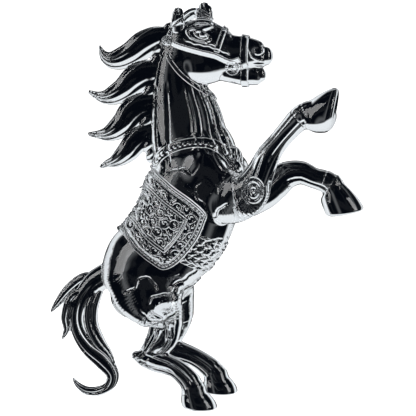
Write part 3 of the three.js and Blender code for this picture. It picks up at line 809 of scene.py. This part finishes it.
def both_sides(x, y, z):
    """A place on the right of the horse and its mirror image on the left."""
    return [(x, -y, z), (x, y, z)]


spine = Limb(SPINE, 12, 3.0, neck_flutes)
front_right = Limb(FRONT_RIGHT, 10, 2.5, leg_grooves)
front_left = Limb(FRONT_LEFT, 10, 2.5, leg_grooves)
hind_right = Limb(HIND_RIGHT, 10, 3.0, leg_grooves)
hind_left = Limb(HIND_LEFT, 10, 3.0, leg_grooves)
FRONT_LAST, HIND_LAST = len(FRONT_RIGHT) - 1, len(HIND_RIGHT) - 1
# The body: each row is a chain of pieces that share one form, in the order of blending.
CORE = [
    [("neck", spine.part(0, NECK_BASE)), ("torso", spine.part(NECK_BASE, LOIN)),
     ("hindquarters", spine.part(LOIN, len(SPINE) - 1))],
    [("hindquarters", hind_right.part(0, STIFLE)),
     ("hind_right_gaskin", hind_right.part(STIFLE, HIND_LAST))],
    [("hindquarters", hind_left.part(0, STIFLE)),
     ("hind_left_gaskin", hind_left.part(STIFLE, HIND_LAST))],
    [("front_right_forearm", front_right.part(0, KNEE)),
     ("front_right_cannon", front_right.part(KNEE, FRONT_LAST))],
    [("front_left_forearm", front_left.part(0, KNEE)),
     ("front_left_cannon", front_left.part(KNEE, FRONT_LAST))],
    [("hind_right_cannon", Limb(HOCK_RIGHT, 10, 1.5, cannon_tendons))],
    [("hind_left_cannon", Limb(HOCK_LEFT, 10, 1.5, cannon_tendons))],
    [("head", Limb(HEAD, 10, 1.6, head_carving))],
    [("lower_jaw", Limb(LOWER_JAW, 8, 0.7))],
]
CORE += [[("torso", Ball(at, (10, 5.5, 14), 20, 4.0))] for at in both_sides(3, 14.4, 114)]
CORE += [[("torso", Ball(at, (6, 6, 9), -20, 2.5))] for at in both_sides(12, 7, 115)]
CORE += [[("head", Ball((-4.4, 0, 169.8), (9.4, 8.8, 9.0), 0, 1.5))]]
CORE += [[("head", Ball(at, (1.7, 1.4, 1.4), 0, 0.3))] for at in both_sides(-1.4, 7.3, 185.2)]
CORE += [[("head", Ball(at, (5, 1.6, 1.3), 15, 1.5))] for at in both_sides(-1.6, 5.8, 188.2)]
CORE += [[("head", Ball(at, (2.6, 1.6, 1.9), 30, 1.6))] for at in both_sides(25.6, 4.4, 177.4)]
CORE += [[(name, Hoof(*shape))] for name, shape in HOOVES.items()]
CORE += [[("front_right_hoof", Ball((57.4, -18, 146), (8.4, 7.8, 6.4), 12, 2.0))]]

combed = hair_grooves(4, 1.0)
tail = Limb(TAIL, 10, 0.8, combed)
EXTRAS = [
    [("ear_right", Limb(EAR_RIGHT, 8, 0.8, ear_hollow(-1.2)))],
    [("ear_left", Limb(EAR_LEFT, 8, 0.8, ear_hollow(-0.9)))],
    [("forelock", Limb(FORELOCK, 8, 0.5, combed))],
    [("crest_braid", Limb(CREST_BRAID, 12, 0.4, braid_twist))],
    [("tail_dock", tail.part(0, 2)), ("tail_stem", tail.part(2, 5)),
     ("tail_curl", tail.part(5, len(TAIL) - 1))],
    [("breast_ornament", Flower(ORNAMENT_AT, ORNAMENT_SIZE, math.radians(-60), 8, 0.9))],
]
EXTRAS += [
    [(name, Flower((ROSETTE_AT[0], y, ROSETTE_AT[1]), (2.8, 1.5, 2.8), math.radians(90), 6, 0.5))]
    for name, y in [("bridle_rosette_right", -ROSETTE_OUT), ("bridle_rosette_left", ROSETTE_OUT)]
]
for lock, stations in MANE.items():
    EXTRAS += [[(lock, strand)] for strand in strands(stations, 3, 0.2, 0.55, 0.06)]
for lock, stations in TAIL_STRANDS.items():
    EXTRAS += [[(lock, Limb(stations, 10, 0.5, hair_grooves(4, 0.9)))]]
RINGS = {
    name: Ring((BIT_RING_AT[0], y, BIT_RING_AT[1]), BIT_RING, BIT_WIRE)
    for name, y in [("bit_ring_right", -BIT_RING_OUT), ("bit_ring_left", BIT_RING_OUT)]
}


def measure(p):
    """The distances to the bare body and to the skin with its hair, and to each piece."""
    low, high = p.min(0), p.max(0)
    labels = {}
    total = np.full(len(p), FAR, np.float32)
    core = total
    for chain in CORE + [None] + EXTRAS:
        if chain is None:
            core = total
            continue
        closest = None
        for place, (piece, form) in enumerate(chain):
            if (form.low > high).any() or (form.high < low).any():
                continue
            d = form.field(p)
            closest = d if closest is None else np.minimum(closest, d)
            if place > 0:
                d = d - 0.5 * np.clip(form.past_start(p), -1, 1)
            if place < len(chain) - 1:
                d = d + 0.5 * np.clip(form.past_end(p), -1, 1)
            labels[piece] = np.minimum(labels.get(piece, FAR), d)
        if closest is not None:
            total = np.where(closest < FAR, smooth_min(total, closest, chain[0][1].blend), total)
    return np.maximum(core, -p[:, 2]), np.maximum(total, -p[:, 2]), labels


def lowest(labels, names, p):
    """The smallest of the named pieces' distances at each point."""
    found = [labels[name] for name in names if name in labels]
    return np.minimum.reduce(found) if found else np.full(len(p), FAR, np.float32)


BODY_NAMES = {piece for chain in CORE for piece, form in chain}


def outside(piece, p):
    """How far each point is outside a piece's own skin, and outside its bond faces."""
    core, skin, labels = measure(p)
    if piece in RINGS:
        return RINGS[piece].field(p), BOND - skin
    if piece not in RELIEFS:
        others = lowest(labels, labels.keys() - {piece}, p)
        return skin, (lowest(labels, [piece], p) - others) / 2 + BOND
    relief, hosts, cutters = RELIEFS[piece]
    wall = np.maximum(BOND - skin, BOND + (
        lowest(labels, hosts, p) - lowest(labels, BODY_NAMES - set(hosts), p)) / 2)
    for cutter in cutters:
        wall = np.maximum(wall, RELIEFS[cutter][0].inside(p) + BOND)
    return core - relief.thickness(p), wall


def covered(p):
    """Whether a point of the body's skin lies under a relief piece."""
    under = np.zeros(len(p), bool)
    for relief, hosts, cutters in RELIEFS.values():
        flat = p[:, [0, 2]]
        near = np.flatnonzero(((flat > relief.low) & (flat < relief.high)).all(1) & ~under)
        for i in range(0, len(near), CHUNK):
            some = near[i:i + CHUNK]
            core, skin, labels = measure(p[some])
            here = lowest(labels, hosts, p[some]) < lowest(labels, BODY_NAMES - set(hosts), p[some])
            under[some] = here & (relief.inside(p[some]) > 0.05) & (skin > core - 0.1)
    return under


# ---- from fields to closed meshes -----------------------------------------
CORNERS = np.array([(i, j, k) for i in (0, 1) for j in (0, 1) for k in (0, 1)])
EDGES = [(a, b) for a in range(8) for b in range(8) if (a ^ b) in (1, 2, 4) and a < b]
BLOCK = 4  # fine cells along the side of a coarse cell
CHUNK = 30000  # how many points are worked out together
CRUMB = 0.15  # a loose part with a smaller share of the points than this is left out


def linked(corners):
    """Whether a set of cube corners hangs together along the cube's edges."""
    if not corners:
        return True
    seen, queue = set(), [next(iter(corners))]
    while queue:
        corner = queue.pop()
        if corner not in seen:
            seen.add(corner)
            queue += [c for c in (corner ^ 1, corner ^ 2, corner ^ 4) if c in corners]
    return seen == corners


def is_ambiguous(code):
    """Whether a surface through a cell with these inside corners could touch itself."""
    inside = {c for c in range(8) if code >> c & 1}
    for bit in (1, 2, 4):
        for high in (False, True):
            pair = [c for c in inside if bool(c & bit) == high]
            if len(pair) == 2 and (pair[0] ^ pair[1]) not in (1, 2, 4):
                return True
    return not linked(inside) or not linked(set(range(8)) - inside)


AMBIGUOUS = np.array([is_ambiguous(code) for code in range(256)])


def in_chunks(function, piece, p):
    """Works out a piece's fields at many points, a limited number at a time."""
    parts = [function(piece, p[i:i + CHUNK]) for i in range(0, len(p), CHUNK)]
    return [np.concatenate(rows).astype(np.float32) for rows in zip(*parts)]


def grid_points(low, step, index):
    return (low + step * index).astype(np.float32)


def sample_grid(piece, low, high, step):
    """Both fields on a grid, worked out in full only near the surface."""
    coarse_step = step * BLOCK
    count = np.ceil((high - low) / coarse_step).astype(int) + 1
    index = np.stack(np.meshgrid(*map(np.arange, count), indexing="ij"), -1).reshape(-1, 3)
    skin, wall = in_chunks(outside, piece, grid_points(low, coarse_step, index))
    reach = 0.95 * coarse_step + 0.5
    near = (np.abs(np.maximum(skin, wall)) < reach).reshape(count)
    cells = near[:-1, :-1, :-1].copy()
    for i, j, k in CORNERS[1:]:
        cells |= near[i:i + count[0] - 1, j:j + count[1] - 1, k:k + count[2] - 1]
    fine = (count - 1) * BLOCK + 1
    wanted = np.zeros(fine, bool)
    blocks = np.argwhere(cells)
    span = np.stack(np.meshgrid(*[np.arange(BLOCK + 1)] * 3, indexing="ij"), -1).reshape(-1, 3)
    for offset in span:
        wanted[tuple((blocks * BLOCK + offset).T)] = True
    closest = tuple(np.round(np.arange(n) / BLOCK).astype(int) for n in fine)
    fields = [rows.reshape(count)[np.ix_(*closest)].copy() for rows in (skin, wall)]
    places = np.argwhere(wanted)
    tile = places // 16
    places = places[np.lexsort(tile.T)]
    exact = in_chunks(outside, piece, grid_points(low, step, places))
    for field, values in zip(fields, exact):
        field[tuple(places.T)] = values
    return fields


def codes(flat, cells, offsets):
    """For each cell, a number whose bits say which of its corners are inside."""
    code = np.zeros(len(cells), np.uint8)
    for bit, offset in enumerate(offsets):
        code |= ((flat[cells + offset] < 0) << bit).astype(np.uint8)
    return code


def untangle(value):
    """Fills the few corners that would make a surface touch itself."""
    offsets = np.ravel_multi_index(CORNERS.T, value.shape)
    flat = value.ravel()
    every = np.arange(value.size).reshape(value.shape)[:-1, :-1, :-1].ravel()
    is_cell = np.zeros(value.size, bool)
    is_cell[every] = True
    cells = every
    while True:
        bad = cells[AMBIGUOUS[codes(flat, cells, offsets)]]
        if not len(bad):
            break
        corners = bad[:, None] + offsets
        values = np.where(flat[corners] >= 0, flat[corners], np.inf)
        filled = corners[np.arange(len(bad)), values.argmin(1)]
        flat[filled] = -1e-3
        cells = np.unique(filled[:, None] - offsets)
        cells = cells[(cells >= 0) & is_cell[cells]]
    return flat.reshape(value.shape), every, codes(flat, every, offsets), offsets


def surface_net(skin, wall):
    """Points and four-sided faces of the surface where the larger field is zero."""
    value = np.maximum(skin, wall)
    value, base, code, offsets = untangle(value)
    flat, by_skin, by_wall = value.ravel(), skin.ravel(), wall.ravel()
    active = base[(code > 0) & (code < 255)]
    number = np.full(value.size, -1)
    number[active] = np.arange(len(active))
    values = flat[active[:, None] + offsets]
    skins = by_skin[active[:, None] + offsets]
    walls = by_wall[active[:, None] + offsets]
    total = np.zeros((len(active), 3))
    crossings = np.zeros(len(active))
    touches = np.zeros((2, len(active)), bool)
    for a, b in EDGES:
        va, vb = values[:, a], values[:, b]
        crosses = (va < 0) != (vb < 0)
        t = np.clip(va / np.where(crosses, va - vb, 1), 0, 1)
        total += crosses[:, None] * (CORNERS[a] + t[:, None] * (CORNERS[b] - CORNERS[a]))
        crossings += crosses
        s = skins[:, a] * (1 - t) + skins[:, b] * t
        w = walls[:, a] * (1 - t) + walls[:, b] * t
        touches[0] |= crosses & (s >= w)
        touches[1] |= crosses & (w > s)
    points = np.stack(np.unravel_index(active, value.shape), 1) + total / crossings[:, None]
    inside = value < 0
    faces = []
    for axis in range(3):
        u, v = [a for a in range(3) if a != axis]
        first = [slice(1, -1)] * 3
        first[axis] = slice(0, -1)
        second = list(first)
        second[axis] = slice(1, None)
        a, b = inside[tuple(first)], inside[tuple(second)]
        at = np.argwhere(a != b)
        leaving = a[tuple(at.T)]
        start = [1, 1, 1]
        start[axis] = 0
        at = at + start
        step_u, step_v = np.eye(3, dtype=int)[u], np.eye(3, dtype=int)[v]
        ring = [at - step_u - step_v, at - step_v, at, at - step_u]
        quad = np.stack([number[np.ravel_multi_index(r.T, value.shape)] for r in ring], 1)
        flip = leaving if axis == 1 else ~leaving
        faces.append(np.where(flip[:, None], quad[:, ::-1], quad))
    return points, np.concatenate(faces), touches


def with_slopes(piece, p):
    """Both fields and their gradients, from four points round each point."""
    reach = 0.04
    corners = np.array([(1, 1, 1), (1, -1, -1), (-1, 1, -1), (-1, -1, 1)], np.float32)
    around = (p[:, None] + reach * corners).reshape(-1, 3).astype(np.float32)
    result = []
    for rows in outside(piece, around):
        rows = rows.reshape(-1, 4)
        result += [rows.mean(1), rows @ corners / (4 * reach)]
    return result


def settle(piece, points, touches, step):
    """Moves each point onto the surface, or onto the rim where skin and bond meet."""
    for _ in range(2):
        skin, skin_slope, wall, wall_slope = in_chunks(with_slopes, piece, points)
        a = np.einsum("ij,ij->i", skin_slope, skin_slope) + 1e-4
        c = np.einsum("ij,ij->i", wall_slope, wall_slope) + 1e-4
        b = np.einsum("ij,ij->i", skin_slope, wall_slope)
        square = np.maximum(a * c - b * b, 0.08 * a * c)
        rim = touches[0] & touches[1]
        s = np.where(rim, (skin * c - wall * b) / square, np.where(touches[0], skin / a, 0))
        w = np.where(rim, (wall * a - skin * b) / square, np.where(touches[0], 0, wall / c))
        move = s[:, None] * skin_slope + w[:, None] * wall_slope
        length = np.linalg.norm(move, axis=1)
        points = points - move * np.minimum(1, 0.5 * step / (length + 1e-9))[:, None]
    return points, skin, wall, skin_slope, wall_slope


def main_parts(faces, count):
    """Which points are in a part of the mesh that isn't a mere crumb."""
    parent = np.arange(count)
    pairs = np.concatenate([faces[:, [0, 1]], faces[:, [1, 2]], faces[:, [2, 3]]])
    while True:
        a, b = parent[pairs[:, 0]], parent[pairs[:, 1]]
        if (a == b).all():
            break
        low = np.minimum(a, b)
        np.minimum.at(parent, a, low)
        np.minimum.at(parent, b, low)
        while (parent[parent] != parent).any():
            parent = parent[parent]
    sizes = np.bincount(parent, minlength=count)
    return sizes[parent] > CRUMB * sizes.max()


def make_mesh(name, points, faces, smooth_normals, face_slot, materials):
    """A Blender object made from points in mm and four-sided faces."""
    mesh = bpy.data.meshes.new(name)
    mesh.vertices.add(len(points))
    mesh.vertices.foreach_set("co", ((points + ORIGIN) * MM).astype(np.float32).ravel())
    mesh.loops.add(faces.size)
    mesh.loops.foreach_set("vertex_index", faces.astype(np.int32).ravel())
    mesh.polygons.add(len(faces))
    starts = np.arange(len(faces), dtype=np.int32) * 4
    mesh.polygons.foreach_set("loop_start", starts)
    mesh.polygons.foreach_set("material_index", face_slot.astype(np.int32))
    mesh.polygons.foreach_set("use_smooth", np.ones(len(faces), bool))
    for material in materials:
        mesh.materials.append(material)
    mesh.update(calc_edges=True)
    mesh.normals_split_custom_set(smooth_normals[faces.ravel()])
    piece = bpy.data.objects.new(name, mesh)
    bpy.context.scene.collection.objects.link(piece)
    return piece


def box_of(piece):
    """The box in which a piece can have material."""
    if piece in RINGS:
        return RINGS[piece].low, RINGS[piece].high
    if piece in RELIEFS:
        relief, hosts = RELIEFS[piece][:2]
        boxes = [box_of(host) for host in hosts]
        low, high = np.min([b[0] for b in boxes], 0), np.max([b[1] for b in boxes], 0)
        low[[0, 2]] = np.maximum(low[[0, 2]], relief.low)
        high[[0, 2]] = np.minimum(high[[0, 2]], relief.high)
        return low, high
    forms = [form for chain in CORE + EXTRAS for owner, form in chain if owner == piece]
    low = np.min([form.low for form in forms], 0) + FAR - 3
    high = np.max([form.high for form in forms], 0) - FAR + 3
    low[2] = max(low[2], -1.5)
    return low, high


# The side of a grid cell, in mm: large plain pieces, finely carved pieces, and the rest.
SPACING = {"torso": 0.6, "hindquarters": 0.6, "neck": 0.5}
FINE_PIECES = (
    "bridle", "saddle_cloth", "breast", "bit", "throat", "ear", "head", "lower", "forelock",
)


FINE_SPACING, USUAL_SPACING = 0.4, 0.5


def spacing_of(piece):
    usual = FINE_SPACING if piece.startswith(FINE_PIECES) else USUAL_SPACING
    return SPACING.get(piece, usual) * FINE


def build_piece(piece, materials):
    """The closed glass mesh of one piece, with its own faces and its bond faces."""
    step = spacing_of(piece)
    low, high = box_of(piece)
    skin, wall = sample_grid(piece, low, high, step)
    points, faces, touches = surface_net(skin, wall)
    points = (low + step * points).astype(np.float32)
    keep = main_parts(faces, len(points))
    renumber = np.cumsum(keep) - 1
    faces = renumber[faces[keep[faces[:, 0]]]]
    points, touches = points[keep], touches[:, keep]
    points, skin, wall, skin_slope, wall_slope = settle(piece, points, touches, step)
    bond = wall[faces].mean(1) > skin[faces].mean(1)
    if piece in BODY_NAMES:
        middles = points[faces].mean(1)
        bare = np.flatnonzero(~bond)
        bond[bare] = covered(middles[bare])
    slope = np.where(touches[0][:, None], skin_slope, wall_slope)
    normals = slope / (np.linalg.norm(slope, axis=1)[:, None] + 1e-9)
    return make_mesh(piece + "_glass", points, faces, normals, bond, materials)


# ---- materials ------------------------------------------------------------
def new_material(name):
    """An empty node material, its nodes and its links."""
    material = bpy.data.materials.new(name)
    material.use_nodes = True
    nodes = material.node_tree.nodes
    nodes.clear()
    return material, nodes, material.node_tree.links


CRYSTAL_IOR = 1.54


def glass(name, roughness, ripple, ripple_scale, tint):
    """Clear crystal with a faint ripple from fire polishing."""
    material, nodes, links = new_material(name)
    output = nodes.new("ShaderNodeOutputMaterial")
    shader = nodes.new("ShaderNodeBsdfPrincipled")
    shader.inputs["Base Color"].default_value = (*tint, 1)
    shader.inputs["Transmission Weight"].default_value = 1
    shader.inputs["IOR"].default_value = CRYSTAL_IOR
    side = nodes.new("ShaderNodeNewGeometry")
    bend = nodes.new("ShaderNodeMapRange")
    bend.inputs["To Min"].default_value = CRYSTAL_IOR
    bend.inputs["To Max"].default_value = 1.0
    links.new(side.outputs["Backfacing"], bend.inputs["Value"])
    links.new(bend.outputs["Result"], shader.inputs["IOR"])
    place = nodes.new("ShaderNodeTexCoord")
    noise = nodes.new("ShaderNodeTexNoise")
    noise.inputs["Scale"].default_value = ripple_scale
    noise.inputs["Detail"].default_value = 2
    spread = nodes.new("ShaderNodeMapRange")
    spread.inputs["To Min"].default_value = roughness * 0.6
    spread.inputs["To Max"].default_value = roughness * 1.4
    swell = nodes.new("ShaderNodeBump")
    swell.inputs["Strength"].default_value = ripple
    swell.inputs["Distance"].default_value = 0.2 * MM
    links.new(place.outputs["Object"], noise.inputs["Vector"])
    links.new(noise.outputs["Fac"], spread.inputs["Value"])
    links.new(spread.outputs["Result"], shader.inputs["Roughness"])
    links.new(noise.outputs["Fac"], swell.inputs["Height"])
    links.new(swell.outputs["Normal"], shader.inputs["Normal"])
    links.new(shader.outputs["BSDF"], output.inputs["Surface"])
    return material


def bond_face():
    """The face between two bonded pieces, which light crosses as if it weren't there."""
    material, nodes, links = new_material("bond_face")
    output = nodes.new("ShaderNodeOutputMaterial")
    shader = nodes.new("ShaderNodeBsdfTransparent")
    links.new(shader.outputs["BSDF"], output.inputs["Surface"])
    return material


def slot_of(piece):
    """The CAD's material slot for a piece."""
    if piece.startswith(("saddle_cloth", "girth", "breast_ornament")):
        return "engraved_crystal"
    if piece.startswith(("bridle", "throatlatch", "breast_collar", "bit_ring")):
        return "harness_crystal"
    if piece.startswith(("mane", "tail", "crest_braid", "forelock")):
        return "hair_crystal"
    return "hoof_crystal" if piece.endswith("hoof") else "body_crystal"


CLEAR = (0.985, 0.992, 1.0)
FINISHES = {
    "body_crystal": glass("body_crystal", 0.002, 0.02, 60, CLEAR),
    "hoof_crystal": glass("hoof_crystal", 0.004, 0.02, 90, CLEAR),
    "hair_crystal": glass("hair_crystal", 0.003, 0.02, 90, CLEAR),
    "harness_crystal": glass("harness_crystal", 0.006, 0.03, 120, CLEAR),
    "engraved_crystal": glass("engraved_crystal", 0.008, 0.03, 150, CLEAR),
}
BOND_FACE = bond_face()


# ---- light, background and floor ------------------------------------------
ROOM_GLOW, CARD_GLOW, PAPER_GLOW = 0.016, 0.9, 1.6
MIRROR_DIMMING = 0.85  # how much less of the cards shows in reflections than through the glass
# The cards, each with its low edge, high edge and softness. The first two are bearings off
# the line of sight, in radians, and the last two are heights, as the sine of the elevation.
WALL_CARDS, FAINT_CARDS = (0.36, 0.56, 0.03), (0.13, 0.17, 0.02)
UPPER_CARD, LOWER_CARD = (0.09, 0.42, 0.02), (-0.62, -0.52, 0.03)
LOWER_SHARE, FAINT_SHARE = 0.5, 0.10


def studio_world():
    """White to the eye. The glass itself sees a dark room with bright cards."""
    world = bpy.data.worlds.new("studio")
    bpy.context.scene.world = world
    world.use_nodes = True
    nodes, links = world.node_tree.nodes, world.node_tree.links
    nodes.clear()

    def math_node(operation, *values):
        node = nodes.new("ShaderNodeMath")
        node.operation = operation
        for socket, value in zip(node.inputs, values):
            if isinstance(value, (int, float)):
                socket.default_value = value
            else:
                links.new(value, socket)
        return node.outputs[0]

    def ramp(value, low, high):
        node = nodes.new("ShaderNodeMapRange")
        node.interpolation_type = "SMOOTHSTEP"
        node.inputs["From Min"].default_value = low
        node.inputs["From Max"].default_value = high
        links.new(value, node.inputs["Value"])
        return node.outputs["Result"]

    def along(axis):
        node = nodes.new("ShaderNodeVectorMath")
        node.operation = "DOT_PRODUCT"
        node.inputs[1].default_value = axis
        links.new(place.outputs["Generated"], node.inputs[0])
        return node.outputs["Value"]

    def window(value, low, high, soft):
        return math_node("MULTIPLY", ramp(value, low - soft, low + soft),
                         math_node("SUBTRACT", 1, ramp(value, high - soft, high + soft)))

    place = nodes.new("ShaderNodeTexCoord")
    ahead = along((-math.sin(VIEW_AZIMUTH), math.cos(VIEW_AZIMUTH), 0))
    sideways = along((math.cos(VIEW_AZIMUTH), math.sin(VIEW_AZIMUTH), 0))
    bearing = math_node("PINGPONG", math_node("ARCTAN2", sideways, ahead), math.pi / 4)
    height = along((0, 0, 1))
    walls = window(bearing, *WALL_CARDS)
    upper = window(height, *UPPER_CARD)
    lower = math_node("MULTIPLY", window(height, *LOWER_CARD), LOWER_SHARE)
    faint = math_node("MULTIPLY", window(bearing, *FAINT_CARDS), FAINT_SHARE)
    dim = math_node("MAXIMUM", lower, faint)
    bright = math_node("MAXIMUM", walls, math_node("MAXIMUM", upper, dim))
    dark = nodes.new("ShaderNodeBackground")
    dark.inputs["Color"].default_value = (0.10, 0.16, 0.30, 1)
    dark.inputs["Strength"].default_value = ROOM_GLOW
    card = nodes.new("ShaderNodeBackground")
    card.inputs["Color"].default_value = (0.93, 0.97, 1.0, 1)
    card.inputs["Strength"].default_value = CARD_GLOW
    room = nodes.new("ShaderNodeMixShader")
    path = nodes.new("ShaderNodeLightPath")
    mirrored = math_node("SUBTRACT", MIRROR_DIMMING, path.outputs["Is Transmission Ray"])
    shown = math_node("SUBTRACT", 1, math_node("MAXIMUM", 0, mirrored))
    links.new(math_node("MULTIPLY", bright, shown), room.inputs["Fac"])
    links.new(dark.outputs[0], room.inputs[1])
    links.new(card.outputs[0], room.inputs[2])
    paper = nodes.new("ShaderNodeBackground")
    paper.inputs["Color"].default_value = (1, 1, 1, 1)
    paper.inputs["Strength"].default_value = PAPER_GLOW
    seen = math_node("MAXIMUM", path.outputs["Is Camera Ray"], path.outputs["Is Diffuse Ray"])
    mix = nodes.new("ShaderNodeMixShader")
    links.new(seen, mix.inputs["Fac"])
    links.new(room.outputs[0], mix.inputs[1])
    links.new(paper.outputs[0], mix.inputs[2])
    output = nodes.new("ShaderNodeOutputWorld")
    links.new(mix.outputs[0], output.inputs["Surface"])


FLOOR_REACH = 6.0


def make_floor():
    """A plain white floor that the glass itself doesn't see."""
    material, nodes, links = new_material("paper_floor")
    output = nodes.new("ShaderNodeOutputMaterial")
    shader = nodes.new("ShaderNodeBsdfPrincipled")
    shader.inputs["Base Color"].default_value = (0.92, 0.92, 0.92, 1)
    shader.inputs["Roughness"].default_value = 1
    shader.inputs["Specular IOR Level"].default_value = 0
    links.new(shader.outputs["BSDF"], output.inputs["Surface"])
    mesh = bpy.data.meshes.new("floor")
    corners = [(FLOOR_REACH * x, FLOOR_REACH * y, 0) for x, y in [(-1, -1), (1, -1), (1, 1), (-1, 1)]]
    mesh.from_pydata(corners, [], [(0, 1, 2, 3)])
    mesh.materials.append(material)
    floor = bpy.data.objects.new("floor", mesh)
    bpy.context.scene.collection.objects.link(floor)
    floor.visible_transmission = False
    floor.visible_glossy = False


def soft_light(name, place, size, power):
    """A rectangular light that faces the horse."""
    light = bpy.data.lights.new(name, "AREA")
    light.shape = "RECTANGLE"
    light.size, light.size_y = size
    light.energy = power
    holder = bpy.data.objects.new(name, light)
    bpy.context.scene.collection.objects.link(holder)
    holder.location = place
    target = Vector((0, 0, 0.1))
    holder.rotation_euler = (target - holder.location).to_track_quat("-Z", "Y").to_euler()


studio_world()
make_floor()
soft_light("left_card", (-0.9, -0.5, 0.5), (0.5, 0.9), 6)
soft_light("right_card", (0.95, -0.35, 0.45), (0.4, 0.9), 6)
cycles = bpy.context.scene.cycles
cycles.max_bounces = 24
cycles.transmission_bounces = 24
cycles.glossy_bounces = 12
cycles.transparent_max_bounces = 64
bpy.context.scene.view_settings.view_transform = "Standard"

# ---- the pieces -----------------------------------------------------------
for node in sorted(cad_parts):
    finish = slot_of(node)
    glass_piece = build_piece(node, [FINISHES[finish], BOND_FACE])
    glass_piece.visible_shadow = False
    glass_piece.visible_diffuse = False
    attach(glass_piece, "root")
    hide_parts(node)
